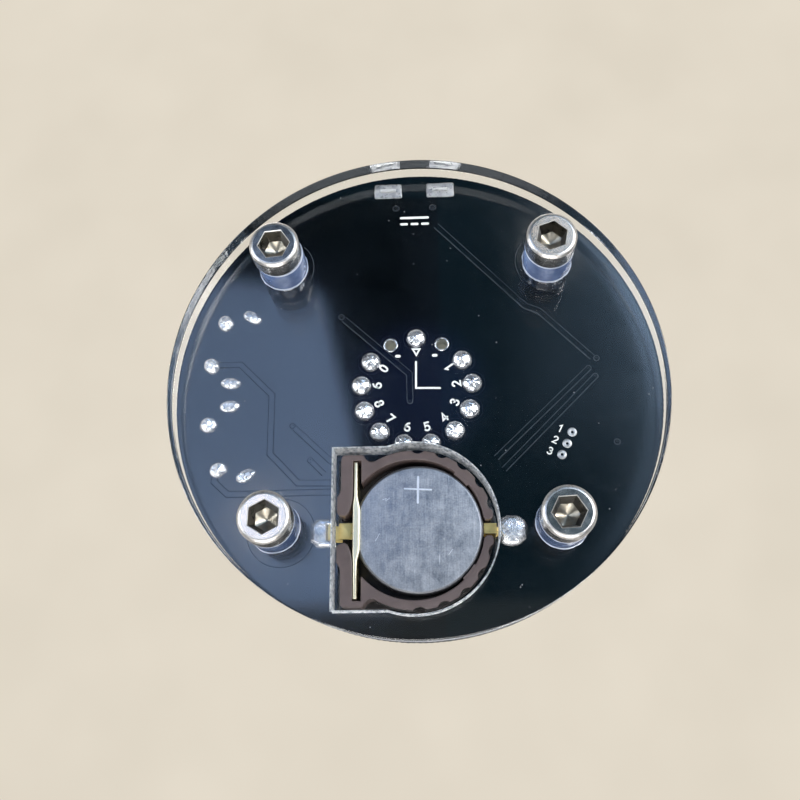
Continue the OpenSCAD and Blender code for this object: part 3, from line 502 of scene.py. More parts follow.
class Shape:
    """Collects closed shells in millimetres and makes one mesh of them."""

    def __init__(self):
        self.v, self.f, self.mi = [], [], []

    def add(self, verts, faces, mat=0, mx=None):
        k = len(self.v)
        if mx is not None:
            verts = [tuple(mx @ Vector(p)) for p in verts]
        self.v += [tuple(p) for p in verts]
        self.f += [tuple(k + i for i in f) for f in faces]
        self.mi += [mat] * len(faces)

    def lathe(self, profile, n=64, mat=0, mx=None, closed=False):
        """profile: (r, z) points; r = 0 ends on the axis; closed: a ring."""
        rows, verts, faces = [], [], []
        for r, z in profile:
            if r < 1e-9:
                rows.append([len(verts)])
                verts.append((0, 0, z))
            else:
                rows.append(list(range(len(verts), len(verts) + n)))
                verts += [(r * math.cos(2 * PI * i / n), r * math.sin(2 * PI * i / n), z) for i in range(n)]
        self._rows(rows, faces, n, closed)
        self.add(verts, faces, mat, mx)

    def rings(self, rings, mat=0, mx=None, closed=False):
        """rings: lists of n points, or a single point at an end."""
        rows, verts, faces = [], [], []
        n = max(len(r) for r in rings)
        for r in rings:
            rows.append(list(range(len(verts), len(verts) + len(r))))
            verts += r
        self._rows(rows, faces, n, closed)
        self.add(verts, faces, mat, mx)

    def bands(self, rings, mats, mx=None):
        """Rings whose bands have materials of their own."""
        k = len(self.mi)
        self.rings(rings, 0, mx)
        n = max(len(r) for r in rings)
        for i, m in enumerate(mats):
            for j in range(n):
                self.mi[k + i * n + j] = m

    @staticmethod
    def _rows(rows, faces, n, closed):
        pairs = list(zip(rows, rows[1:]))
        if closed:
            pairs.append((rows[-1], rows[0]))
        for a, b in pairs:
            for i in range(n):
                j = (i + 1) % n
                if len(a) == 1 and len(b) == 1:
                    continue
                if len(a) == 1:
                    faces.append((a[0], b[i], b[j]))
                elif len(b) == 1:
                    faces.append((a[i], a[j], b[0]))
                else:
                    faces.append((a[i], a[j], b[j], b[i]))
        if not closed:
            if len(rows[0]) > 1:
                faces.append(tuple(reversed(rows[0])))
            if len(rows[-1]) > 1:
                faces.append(tuple(rows[-1]))

    def prism(self, poly, z0, z1, mat=0, mx=None, taper=0.0):
        """An outline pulled from z0 to z1."""
        n = len(poly)
        cx = sum(p[0] for p in poly) / n
        cy = sum(p[1] for p in poly) / n
        top = [(cx + (x - cx) * (1 - taper), cy + (y - cy) * (1 - taper), z1) for x, y in poly]
        self.rings([[(x, y, z0) for x, y in poly], top], mat, mx)

    def make(self, name, mats, body="clock", rep=(), angle=28):
        me = bpy.data.meshes.new(name)
        me.from_pydata([(x * MM, y * MM, z * MM) for x, y, z in self.v], [], self.f)
        ids = list(self.mi)
        me.polygons.foreach_set("material_index", ids)
        return finish_mesh(name, me, mats, body, rep, angle)


def arc(cx, cy, r, a0, a1, n):
    return [(cx + r * math.cos(math.radians(a0 + (a1 - a0) * i / n)), cy + r * math.sin(math.radians(a0 + (a1 - a0) * i / n))) for i in range(n + 1)]


def circle(cx, cy, r, n=48):
    return arc(cx, cy, r, 0, 360, n)[:-1]


def plate(name, loops, z0, z1, bevel, mats, pick=None, body="clock", rep=(), seg=1, angle=20):
    """A flat sheet with holes and small bevels; pick(centre, normal) gives a face's material."""
    cu = bpy.data.curves.new(name + "_outline", "CURVE")
    cu.dimensions = "2D"
    cu.fill_mode = "BOTH"
    cu.extrude = (z1 - z0) / 2 - bevel
    cu.bevel_depth = bevel
    cu.bevel_resolution = seg
    cu.offset = -bevel
    for lp in loops:
        sp = cu.splines.new("POLY")
        sp.points.add(len(lp) - 1)
        for q, (x, y) in zip(sp.points, lp):
            q.co = (x, y, 0, 1)
        sp.use_cyclic_u = True
    tmp = bpy.data.objects.new(name + "_outline", cu)
    scene.collection.objects.link(tmp)
    dg = bpy.context.evaluated_depsgraph_get()
    dg.update()
    me = bpy.data.meshes.new_from_object(tmp.evaluated_get(dg))
    me.name = name
    bpy.data.objects.remove(tmp)
    bpy.data.curves.remove(cu)
    me.materials.clear()
    bm = bmesh.new()
    bm.from_mesh(me)
    bmesh.ops.remove_doubles(bm, verts=bm.verts, dist=1e-4)
    bmesh.ops.recalc_face_normals(bm, faces=bm.faces)
    bmesh.ops.translate(bm, verts=bm.verts, vec=(0, 0, (z0 + z1) / 2))
    for f in bm.faces:
        f.material_index = pick(f.calc_center_median(), f.normal) if pick else 0
    bmesh.ops.scale(bm, verts=bm.verts, vec=(MM, MM, MM))
    bm.to_mesh(me)
    bm.free()
    return finish_mesh(name, me, mats, body, rep, angle)


def mitre(line, half, closed=False):
    """Points left and right of a line at a distance."""
    pts = [Vector(p) for p in line]
    n = len(pts)
    left, right = [], []
    for i, p in enumerate(pts):
        a = pts[i - 1] if (i > 0 or closed) else None
        b = pts[(i + 1) % n] if (i < n - 1 or closed) else None
        d1 = (p - a).normalized() if a is not None else (b - p).normalized()
        d2 = (b - p).normalized() if b is not None else d1
        t = (d1 + d2)
        t = t.normalized() if t.length > 1e-6 else d1
        nrm = Vector((-t.y, t.x))
        k = half / max(0.5, nrm.dot(Vector((-d1.y, d1.x))))
        left.append(p + nrm * k)
        right.append(p - nrm * k)
    return left, right


def track(shape, line, width, z, h, slope, mat=0, up=-1, side=0):
    """A raised conductor under the lacquer: flat top, rounded-off sides, from z by h (up or down)."""
    lo = mitre(line, width / 2 + slope)
    md = mitre(line, width / 2 + slope * 0.4)
    hi = mitre(line, width / 2)
    n = len(line)
    v, f = [], []
    for i in range(n):
        v += [(*lo[0][i], z - up * 0.004), (*md[0][i], z + up * h * 0.42), (*hi[0][i], z + up * h),
              (*hi[1][i], z + up * h), (*md[1][i], z + up * h * 0.42), (*lo[1][i], z - up * 0.004)]
    for i in range(n - 1):
        a, b = 6 * i, 6 * (i + 1)
        for j in range(6):
            f.append((a + j, a + (j + 1) % 6, b + (j + 1) % 6, b + j))
    f.append((5, 4, 3, 2, 1, 0))
    e = 6 * (n - 1)
    f.append((e, e + 1, e + 2, e + 3, e + 4, e + 5))
    shape.add(v, f, mat)
    first = len(shape.mi) - len(f)
    for i in range(n - 1):
        for j in (0, 1, 3, 4):
            shape.mi[first + 6 * i + j] = side


def stroke(shape, line, width, z, h, closed=False, mat=0, up=-1):
    """A flat printed stroke with round ends."""
    l, r = mitre(line, width / 2, closed)
    if closed:
        n = len(line)
        v, f = [], []
        for i in range(n):
            v += [(*l[i], z), (*l[i], z + up * h), (*r[i], z + up * h), (*r[i], z)]
        for i in range(n):
            a, b = 4 * i, 4 * ((i + 1) % n)
            for j in range(4):
                f.append((a + j, a + (j + 1) % 4, b + (j + 1) % 4, b + j))
        shape.add(v, f, mat)
        return
    p0, p1 = Vector(line[0]), Vector(line[-1])
    d0 = (Vector(line[1]) - p0).normalized()
    d1 = (p1 - Vector(line[-2])).normalized()
    out = [tuple(q) for q in l]
    a = math.degrees(math.atan2(d1.y, d1.x))
    out += arc(p1.x, p1.y, width / 2, a + 75, a - 75, 6)
    out += [tuple(q) for q in reversed(r)]
    a = math.degrees(math.atan2(-d0.y, -d0.x))
    out += arc(p0.x, p0.y, width / 2, a + 75, a - 75, 6)
    n = len(out)
    v = [(x, y, z) for x, y in out] + [(x, y, z + up * h) for x, y in out]
    f = [tuple(range(n)), tuple(reversed(range(n, 2 * n)))] + [(i, n + i, n + (i + 1) % n, (i + 1) % n) for i in range(n)]
    shape.add(v, f, mat)


def ring_flat(shape, cx, cy, r0, r1, z, h, mat=0, up=-1, n=40):
    prof = [(r0, z), (r0 + 0.02, z + up * h), (r1 - 0.02, z + up * h), (r1, z)]
    shape.lathe(prof, n, mat, Matrix.Translation((cx, cy, 0)), closed=True)


def blob(shape, cx, cy, rx, ry, h, rot=0.0, seed=0, z=Z_BOARD, up=-1, n=40, rows=10, rough=0.06, power=0.8, tip=0.0, square=2.0, mat=0):
    """A cooled puddle of solder on the board."""
    rings = []
    c, s = math.cos(rot), math.sin(rot)
    for k in range(rows):
        t = k / rows
        rad = math.cos(t * PI / 2) ** power
        ring = []
        for i in range(n):
            a = 2 * PI * i / n
            ca, sa = math.cos(a), math.sin(a)
            q = (abs(ca) ** square + abs(sa) ** square) ** (-1 / square)
            x, y = rx * rad * q * ca, ry * rad * q * sa
            w = noise.noise(Vector((x * 1.6 + seed * 7.1, y * 1.6 - seed * 3.3, seed)))
            w2 = noise.noise(Vector((x * 4.3 + seed, y * 4.3, seed * 2.7)))
            hh = h * math.sin(t * PI / 2) * (1 + rough * 3 * w + rough * w2)
            if tip:
                d = math.hypot(x, y)
                hh += tip * max(0.0, 1 - (d / 0.26) ** 4) - 0.35 * tip * max(0.0, 1 - abs(d - 0.38) / 0.14)
            g = 1 + 0.5 * rough * w * (1 - t)
            px, py = x * g, y * g
            ring.append((cx + c * px - s * py, cy + s * px + c * py, z + up * (hh - (0.003 if k == 0 else 0))))
        rings.append(ring)
    w = noise.noise(Vector((seed * 7.1, -seed * 3.3, seed)))
    rings.append([(cx, cy, z + up * (h * (1 + rough * 3 * w) + tip))])
    shape.rings(rings, mat)


def cad(name, material, angle=28, edge=0.0):
    ob = NODE[name]
    ob.data.materials.clear()
    ob.data.materials.append(material)
    ob.data.polygons.foreach_set("use_smooth", [True] * len(ob.data.polygons))
    ob.data.set_sharp_from_angle(angle=math.radians(angle))
    if edge:
        m = ob.modifiers.new("broken_edges", "BEVEL")
        m.width = edge * MM
        m.segments = 2
        m.limit_method = "ANGLE"
        m.angle_limit = math.radians(40)
        m.harden_normals = True


def P(x, y):
    """Photograph millimetres to the row frame: the underside is seen mirrored."""
    return (-x, y)


# ------------------------------------------------------------------ glyphs: plain figures drawn with strokes
def superloop(cx, cy, rx, ry, n=26, e=2.4):
    out = []
    for i in range(n):
        a = 2 * PI * i / n
        ca, sa = math.cos(a), math.sin(a)
        k = (abs(ca) ** e + abs(sa) ** e) ** (-1 / e)
        out.append((cx + rx * k * ca, cy + ry * k * sa))
    return out


def elarc(cx, cy, rx, ry, a0, a1, n=14):
    return [(cx + rx * math.cos(math.radians(a0 + (a1 - a0) * i / n)), cy + ry * math.sin(math.radians(a0 + (a1 - a0) * i / n))) for i in range(n + 1)]


GLYPH = {
    "0": [(superloop(0.31, 0.5, 0.24, 0.42), True)],
    "1": [([(0.14, 0.76), (0.36, 0.93), (0.36, 0.08)], False)],
    "2": [(elarc(0.31, 0.68, 0.24, 0.24, 160, -35) + [(0.07, 0.08), (0.57, 0.08)], False)],
    "3": [(elarc(0.29, 0.70, 0.22, 0.21, 150, -80, 12) + elarc(0.29, 0.29, 0.26, 0.22, 85, -150, 14), False)],
    "4": [([(0.46, 0.08), (0.46, 0.92), (0.06, 0.33), (0.62, 0.33)], False)],
    "5": [([(0.54, 0.92), (0.15, 0.92), (0.11, 0.50)] + elarc(0.29, 0.34, 0.26, 0.26, 125, -145, 16), False)],
    "6": [(superloop(0.32, 0.32, 0.25, 0.24, 22, 2.1), True), ([(0.075, 0.36), (0.11, 0.62), (0.22, 0.82), (0.42, 0.92)], False)],
    "7": [([(0.07, 0.92), (0.57, 0.92), (0.26, 0.08)], False)],
    "8": [(superloop(0.31, 0.71, 0.21, 0.20, 22, 2.1), True), (superloop(0.31, 0.29, 0.25, 0.22, 22, 2.1), True)],
    "9": [(superloop(0.30, 0.68, 0.25, 0.24, 22, 2.1), True), ([(0.545, 0.64), (0.51, 0.38), (0.40, 0.18), (0.20, 0.08)], False)],
}


def glyph(shape, ch, x, y, size, turn, z, h, weight=0.17, flip=True, up=-1, mat=0):
    """A figure centred at x, y (photograph millimetres when flip), its head turned by turn degrees."""
    c, s = math.cos(math.radians(turn)), math.sin(math.radians(turn))
    for line, closed in GLYPH[ch]:
        pts = []
        for u, v in line:
            a, b = (u - 0.31) * size, (v - 0.5) * size
            px, py = x + c * a - s * b, y + s * a + c * b
            pts.append(P(px, py) if flip else (px, py))
        stroke(shape, pts, weight * size, z, h, closed, mat, up)


# ------------------------------------------------------------------ clear discs
def cut_loop(r=8.1, left=7.75, half=7.7):
    a = math.degrees(math.acos(math.sqrt(r * r - half * half) / r))
    pts = [(left, -half), (left, half)] + arc(0, 0, r, a, 360 - a, 120)
    return [(HX + x, HY + y) for x, y in pts]


def base_pick(c, n):
    if abs(n.z) > 0.95:
        return 0
    if math.hypot(c.x, c.y) > 24.5:
        return 1
    if math.hypot(c.x - HX, c.y - HY) < 11.5 and min(math.hypot(c.x - sx, c.y - sy) for sx, sy in SCREWS) > 2.0:
        return 2
    return 0


base_disc = plate("base_disc", [circle(0, 0, R_DISC, 360), cut_loop()] + [circle(x, y, 1.6, 48) for x, y in SCREWS],
                  Z_BASE, Z_GAP, 0.13, [ACRYLIC, ACRYLIC_RIM, ACRYLIC_CUT], base_pick, rep=("base_plate",))
top_disc = plate("top_disc", [circle(0, 0, 24.0, 360), circle(0, 0, 10.0, 160)] + [circle(x, y, 1.6, 48) for x, y in SCREWS],
                 Z_PLATE, Z_COVER, 0.07, [ACRYLIC, ACRYLIC_RIM], lambda c, n: 0 if abs(n.z) > 0.2 or 1 < math.hypot(c.x, c.y) - 10.0 < 13 else 1, rep=("top_plate",))


# ------------------------------------------------------------------ screws, spacers, standoffs
def hexring(af, z, turn, n=120):
    out = []
    for i in range(n):
        a = 2 * PI * i / n
        b = (a + PI / 6) % (PI / 3) - PI / 6
        r = af / 2 / math.cos(b)
        t = a + math.radians(turn) + PI / 6
        out.append((r * math.cos(t), r * math.sin(t), z))
    return out


def cring(r, z, turn=0, n=120):
    return [(r * math.cos(2 * PI * i / n + math.radians(turn) + PI / 6), r * math.sin(2 * PI * i / n + math.radians(turn) + PI / 6), z) for i in range(n)]


def screw_rings(turn, length):
    rr = [[(0, 0, 1.98)], cring(0.16, 1.94, turn), cring(0.93, 1.50, turn), hexring(1.95, 1.45, turn), hexring(2.73, 0.075, turn), hexring(2.87, 0.0, turn)]
    rr += [cring(r, z, turn) for r, z in ((2.02, 0.0), (2.04, 0.0), (2.17, 0.03), (2.29, 0.10), (2.37, 0.175), (2.45, 0.265), (2.45, 0.46),
                                          (2.45, HEAD_H - 0.10), (2.43, HEAD_H - 0.03), (2.38, HEAD_H), (1.46, HEAD_H))]
    z, k = HEAD_H, 0
    while z < HEAD_H + length - 0.5:
        rr.append(cring(1.45 if k % 2 == 0 else 1.24, z + 0.02, turn))
        z += 0.25
        k += 1
    rr += [cring(1.2, HEAD_H + length - 0.2, turn), [(0, 0, HEAD_H + length)]]
    return rr


HEAD_H = 2.3
# bands of each head, from the socket outwards: painted shade on the socket's end and walls, a painted highlight on its
# chamfer, the plain face, the rim, then the side in a paler copy that is painted light
SCREW_BANDS = (2, 2, 2, 1, 5, 0, 0, 3, 3, 3, 3, 4, 4, 4)
sh = Shape()
for (x, y), t in zip(SCREWS, TURN):
    sh.bands(screw_rings(t, 15 - HEAD_H), SCREW_BANDS, Matrix.Translation((x, y, 0)))
sh.make("cap_screws_turned", [SCREW, SOCKET, SOCKET_END_SHADE, SCREW_RIM, SCREW_SIDE_LIGHTENED, SOCKET_LIP_HIGHLIGHT], rep=("cap_screws",), angle=24)
sh = Shape()
for (x, y), t in zip(SCREWS, reversed(TURN)):
    sh.bands(screw_rings(t, 6), SCREW_BANDS, Matrix.Translation((x, y, Z_COVER + HEAD_H)) @ Matrix.Rotation(PI, 4, "X"))
sh.make("top_screws_turned", [SCREW, SOCKET, SOCKET_END_SHADE, SCREW_RIM, SCREW_SIDE_LIGHTENED, SOCKET_LIP_HIGHLIGHT], rep=("top_screws",), angle=24)

sh = Shape()
for j, (x, y) in enumerate(SCREWS):
    rows = []
    for r, z, w in ((1.62, 2.44, 0), (1.74, 2.3, 0), (2.20, 2.3, 0), (2.38, 2.36, 0.01), (2.45, 2.50, 0.01), (2.45, 5.28, 0), (2.46, 5.38, 0.02), (2.51, 5.47, 0.05), (2.53, 5.56, 0.06),
                    (2.50, 5.63, 0.04), (2.38, 5.65, 0), (1.74, 5.65, 0), (1.62, 5.51, 0)):
        ring = []
        for i in range(96):
            a = 2 * PI * i / 96
            q = r + w * (noise.noise(Vector((3.1 * math.cos(a), 3.1 * math.sin(a), j * 5.3))) + 0.6 * noise.noise(Vector((9 * math.cos(a), 9 * math.sin(a), j + 0.5))))
            ring.append((q * math.cos(a), q * math.sin(a), z))
        rows.append(ring)
    k0 = len(sh.mi)
    # spacers with y < 0 take the darker copy of the nylon, painted shade
    sh.rings(rows, 2 if y < 0 else 0, Matrix.Translation((x - (0.10 if j == 3 else 0.0), y, 0)), closed=True)
    # the rounded ends of each spacer take the pale nylon, a painted highlight
    for b in (2, 3, 6, 7, 8, 9):
        for q in range(96):
            sh.mi[k0 + b * 96 + q] = 1
sh.make("foot_spacers_moulded", [NYLON, NYLON_HIGHLIGHT, NYLON_SHADED], rep=("foot_spacers",), angle=40)
sh = Shape()
for x, y in SCREWS:
    sh.lathe([(1.62, 8.67), (2.38, 8.65), (2.45, 8.72), (2.45, 10.08), (2.38, 10.15), (1.62, 10.13)], 72, 0, Matrix.Translation((x, y, 0)), closed=True)
sh.make("board_spacers_moulded", [NYLON_DARK], rep=("board_spacers",), angle=40)


sh = Shape()
for (x, y), a0, a1 in (((13.6, 12.6), -25, 48), ((-13.6, 12.6), 140, 205)):
    pts = [P(-x + 3.2 * math.cos(math.radians(a)), y + 3.2 * math.sin(math.radians(a))) for a in [a0 + (a1 - a0) * i / 24 for i in range(25)]]
    stroke(sh, pts, 0.036, Z_BASE, 0.006)
sh.make("foot_ring_marks", [SCRATCH], angle=30)


def hex_spacer(shape, x, y, z0, z1, af=5.0, bore=1.5):
    n = 120
    ro = af / 2
    rows = []
    for z, k in ((z0, 0.96), (z0 + 0.25, 1.16), (z1 - 0.25, 1.16), (z1, 0.96)):
        ring = []
        for p in hexring(af, z, 0, n):
            r = math.hypot(p[0], p[1])
            q = min(r, ro * k * 1.0 if k < 1 else r)
            if k < 1:
                q = min(r, ro * 1.0)
            ring.append((p[0] * q / r, p[1] * q / r, z))
        rows.append(ring)
    rows.append(cring(bore + 0.25, z1, 0, n))
    rows.append(cring(bore, z1 - 0.25, 0, n))
    rows.append(cring(bore, z0 + 0.25, 0, n))
    rows.append(cring(bore + 0.25, z0, 0, n))
    shape.rings(rows, 0, Matrix.Translation((x, y, 0)), closed=True)


sh = Shape()
for x, y in SCREWS:
    hex_spacer(sh, x, y, Z_TOP, Z_PLATE)
sh.make("standoffs_turned", [BRASS], rep=("standoffs",), angle=24)


# ------------------------------------------------------------------ circuit board
def at_switch(s, u, v):
    a = math.radians(15 * s)
    return (u * math.cos(a) - v * math.sin(a), u * math.sin(a) + v * math.cos(a))


def lead_pos(k, r=LEAD_R):
    a = math.radians(90 + 360 / 13 * k)
    return (r * math.cos(a), r * math.sin(a))


def slot_loop(cx, cy, lx, ly, rot=0.0):
    c, s = math.cos(rot), math.sin(rot)
    return [(cx + c * x - s * y, cy + s * x + c * y) for x, y in ((-lx, -ly), (lx, -ly), (lx, ly), (-lx, ly))]


board_loops = []
rim = []
for i in range(1080):
    a = 2 * PI * i / 1080
    tooth = 0.018 * (1 if (i // 2) % 2 else -1) * (0.5 + 0.5 * noise.noise(Vector((i * 0.013, 2.2, 0.4))))
    rough = 0.02 * noise.noise(Vector((i * 0.21, 0.3, 5.1)))
    r = R_DISC - 0.045 + tooth + rough
    rim.append((r * math.cos(a), r * math.sin(a)))
board_loops.append(rim)
board_loops += [circle(x, y, 1.6, 48) for x, y in SCREWS]
board_loops += [circle(*lead_pos(k), 0.62 if k in OPEN else 0.5, 32) for k in range(13)]
for s in (-1, 1):
    for v in (-1, 1):
        board_loops.append(circle(*at_switch(s, 21.55, v * 2.45), 0.5, 28))
        board_loops.append(slot_loop(*at_switch(s, 18.97, v * 3.8), 0.7, 0.35, math.radians(15 * s)))
    board_loops.append(slot_loop(s * 2.85, 23.15, 1.0, 0.35))
    board_loops.append(circle(s * 2.0, 21.05, 0.4, 24))
plate("board_laminate", board_loops, Z_BOARD, Z_TOP, 0.03, [MASK, EDGE], lambda c, n: 0 if abs(n.z) > 0.2 else 1, rep=("circuit_board",), seg=0)

# conductors under the lacquer, seen through the base disc
TRACES = [
    ([(2.33, 18.82), (11.5, 9.12), (12.93, 8.51), (18.1, 3.2)], 0.50),
    ([(17.55, 1.95), (7.86, -7.2)], 0.42),
    ([(18.15, 1.05), (8.6, -8.4)], 0.42),
    ([(-7.6, 8.15), (-0.73, 1.87), (-0.70, -0.9)], 0.50),
    ([(-21.28, 3.33), (-18.39, 3.32), (-14.99, -0.07), (-14.98, -6.35), (-12.04, -9.41), (-8.51, -9.47)], 0.50),
    ([(-12.53, -3.67), (-8.59, -7.39)], 0.46),
    ([(-10.67, -7.27), (-9.43, -8.53)], 0.40),
    ([(-20.34, -7.81), (-20.57, -9.14), (-19.13, -10.45), (-8.49, -10.39)], 0.50),
]
sh = Shape()
# sides of traces that start at x < -8 take the painted shade copy of the slope, the rest the painted highlight copy
for line, w in TRACES:
    track(sh, [P(*q) for q in line], w, Z_BOARD, 0.055, 0.12, side=1 if line[0][0] < -8 else 2)
VIAS = [(18.51, 3.10), (17.62, 2.03), (18.25, 1.17), (19.95, -5.79), (-7.85, 8.4), (-0.7, -1.05), (-12.75, -3.45), (-10.85, -7.1), (-2.0, 21.05), (2.0, 21.05)]
for x, y in VIAS:
    px, py = P(x, y)
    prof = [(0.07, Z_BOARD), (0.11, Z_BOARD - 0.05), (0.22, Z_BOARD - 0.05), (0.27, Z_BOARD - 0.02), (0.34, Z_BOARD)]
    sh.lathe(prof, 28, 0, Matrix.Translation((px, py, 0)), closed=True)
    # vias likewise: painted shade at x < -8, painted highlight elsewhere
    for q in range(28 * 5):
        if q // 28 in (0, 2, 3):
            sh.mi[len(sh.mi) - 28 * 5 + q] = 1 if x < -8 else 2
# edge of the copper around each tube pad and screw hole
# pad rings take the dim painted highlight copy, the screw-hole ring the painted shade copy
for k in range(13):
    x, y = lead_pos(k)
    ring_flat(sh, x, y, *((1.02, 1.08) if k in OPEN else (1.29, 1.36)), Z_BOARD, 0.022, mat=3)
ring_flat(sh, 13.6, -14.4, 3.36, 3.44, Z_BOARD, 0.022, mat=1, n=64)
sh.make("board_conductors", [TRACK, STEP_SHADED, STEP_HIGHLIGHT, STEP_DIM_HIGHLIGHT], angle=8)

# printed marks: plain figures at the tube pins, plain strokes elsewhere
sh = Shape()
ZS, HS = Z_BOARD, 0.030
for k in range(13):
    x, y = lead_pos(k)
    fx, fy = -x, y
    a = math.degrees(math.atan2(fy, fx))
    r = 4.12
    cx, cy = r * math.cos(math.radians(a)), r * math.sin(math.radians(a)) + 0.2
    if 2 <= k <= 10:
        ch = str(k - 1)
    elif k == 11:
        ch = "0"
    else:
        ch = None
    if ch:
        glyph(sh, ch, cx, cy, 0.98, a + 90, ZS, HS, 0.19)
    elif k == 0:
        tri = [(0.36, 0.26), (0.0, -0.40), (-0.36, 0.26)]
        stroke(sh, [P(cx + u, cy + v) for u, v in tri], 0.17, ZS, HS, True)
    else:
        stroke(sh, [P(cx - 0.14, cy), P(cx + 0.14, cy)], 0.30, ZS, HS)
stroke(sh, [P(-0.04, 3.17), P(-0.07, 0.33), P(2.39, 0.27)], 0.20, ZS, HS)
# direct current symbol beside the power socket
stroke(sh, [P(-1.45, 19.85), P(1.45, 19.85)], 0.26, ZS, HS)
for u in (-1.15, 0.0, 1.15):
    stroke(sh, [P(u - 0.3, 19.1), P(u + 0.3, 19.1)], 0.26, ZS, HS)
for i, (x, y) in enumerate(((15.56, -4.71), (14.99, -5.87), (14.41, -7.0))):
    glyph(sh, str(i + 1), x - 1.15, y + 0.42, 0.82, -27, ZS, HS, 0.16)
sh.make("underside_print", [SILK], angle=30)

# tinned rings: open tube pads, test pads
sh = Shape()
for k in OPEN:
    x, y = lead_pos(k)
    prof = [(0.58, Z_BOARD + 1.58), (0.58, Z_BOARD + 0.02), (0.60, Z_BOARD - 0.04), (0.65, Z_BOARD - 0.06), (0.72, Z_BOARD - 0.045), (0.76, Z_BOARD), (0.72, Z_BOARD + 0.01),
            (0.615, Z_BOARD + 0.01), (0.615, Z_BOARD + 1.58)]
    sh.lathe(prof, 40, 1, Matrix.Translation((x, y, 0)), closed=True)
for x, y in ((15.56, -4.71), (14.99, -5.87), (14.41, -7.0)):
    px, py = P(x, y)
    prof = [(0.13, Z_BOARD), (0.16, Z_BOARD - 0.05), (0.24, Z_BOARD - 0.085), (0.38, Z_BOARD - 0.075), (0.47, Z_BOARD)]
    sh.lathe(prof, 32, 0, Matrix.Translation((px, py, 0)), closed=True)
sh.make("tinned_rings", [TINNED, SOLDER], angle=50)

# soldered tube leads
def pin_joint(shape, cx, cy, seed):
    """A full joint: the solder draws up to the clipped end of the lead and has set in ripples."""
    rings = []
    for k in range(24):
        t = k / 24
        rad = 1.02 * math.cos(t * PI / 2) ** 0.78
        ring = []
        for i in range(64):
            a = 2 * PI * i / 64
            u = rad / 1.02
            w = noise.noise(Vector((1.7 * math.cos(a), 1.7 * math.sin(a), seed * 3.7)))
            w2 = noise.noise(Vector((3.6 * math.cos(a), 3.6 * math.sin(a), seed * 1.9 + 8)))
            w3 = noise.noise(Vector((6.5 * math.cos(a), 6.5 * math.sin(a), seed * 2.3 + 3)))
            q = u * (1 - u ** 3)
            hh = (0.70 - 0.37 * u * u) * (1 - u ** 14) ** 0.5 + (0.16 * w + 0.09 * w2 + 0.05 * w3) * q
            hh += 0.07 * math.exp(-(rad / 0.22) ** 4)
            ring.append((cx + rad * math.cos(a), cy + rad * math.sin(a), Z_BOARD - (hh - (0.003 if k == 0 else 0))))
        rings.append(ring)
    rings.append([(cx, cy, Z_BOARD - 0.77)])
    shape.rings(rings)


sh = Shape()
for k in range(13):
    if k in OPEN:
        continue
    x, y = lead_pos(k)
    pin_joint(sh, x, y, k + 1)
sh.make("pin_joints", [PIN_SOLDER], rep=("pin_solder",), angle=60)

# soldered switch, socket and battery tabs
sh = Shape()
for i, (s, v) in enumerate(((-1, -1), (-1, 1), (1, -1), (1, 1))):
    x, y = at_switch(s, 21.55, v * 2.45)
    blob(sh, x, y, 0.94, 0.86, 0.62, math.radians(15 * s + 20 * i), 20 + i, rough=0.12, tip=0.10)
    x, y = at_switch(s, 18.97, v * 3.8)
    blob(sh, x, y, 1.12, 0.66, 0.46, math.radians(15 * s + (12 if v > 0 else -12)), 30 + i, rough=0.15, n=48, tip=0.08)
blob(sh, HX - 9.42, HY, 1.62, 1.52, 0.62, 0.0, 51, rough=0.05, n=64, rows=14, power=0.6, square=2.2)
# the other battery joint leaves the tab bare on top
RW, RL = 28, 30
rings = []
grid, top = {}, []
for i in range(RW + 1):
    for j in range(RL + 1):
        u, v = i / RW, -1 + 2 * j / RL
        x = 7.85 + 2.55 * u
        y = 1.46 * v
        edge = min(1.0, (1 - abs(v)) * 5.0, (1 - u) * 5.0 - max(0.0, abs(v) - 0.45) * 3.4)
        edge = max(0.0, edge)
        w = noise.noise(Vector((x * 1.9, y * 1.9, 3.3)))
        hh = 0.46 * edge ** 0.5 * (1 + 0.16 * w)
        tab = min(1.0, max(0.0, (0.86 - abs(y)) / 0.14)) * min(1.0, max(0.0, (8.75 - x) / 0.25))
        hh = hh * (1 - tab) + min(hh, 0.16) * tab
        grid[(i, j)] = (HX + x, HY + y, Z_BOARD - hh if hh > 0.004 else Z_BOARD + 0.003)
vv, ff = [], []
idx = {}
for kk, q in grid.items():
    idx[kk] = len(vv)
    vv.append(q)
low = {}
for kk, q in grid.items():
    low[kk] = len(vv)
    vv.append((q[0], q[1], Z_BOARD + 0.006))
for i in range(RW):
    for j in range(RL):
        ff.append((idx[(i, j)], idx[(i + 1, j)], idx[(i + 1, j + 1)], idx[(i, j + 1)]))
        ff.append((low[(i, j + 1)], low[(i + 1, j + 1)], low[(i + 1, j)], low[(i, j)]))
for i in range(RW):
    ff.append((idx[(i + 1, 0)], idx[(i, 0)], low[(i, 0)], low[(i + 1, 0)]))
    ff.append((idx[(i, RL)], idx[(i + 1, RL)], low[(i + 1, RL)], low[(i, RL)]))
for j in range(RL):
    ff.append((idx[(0, j)], idx[(0, j + 1)], low[(0, j + 1)], low[(0, j)]))
    ff.append((idx[(RW, j + 1)], idx[(RW, j)], low[(RW, j)], low[(RW, j + 1)]))
sh.add(vv, ff)
sh.make("tab_joints", [TAB_SOLDER], rep=("tab_solder",), angle=60)
sh = Shape()
for s in (-1, 1):
    blob(sh, s * 2.85, 23.15, 1.52, 0.87, 0.13, 0.0, 40 + s, rough=0.10, n=64, power=0.16, square=12.0)
sh.make("socket_joints", [SOCKET_PAD], angle=60)


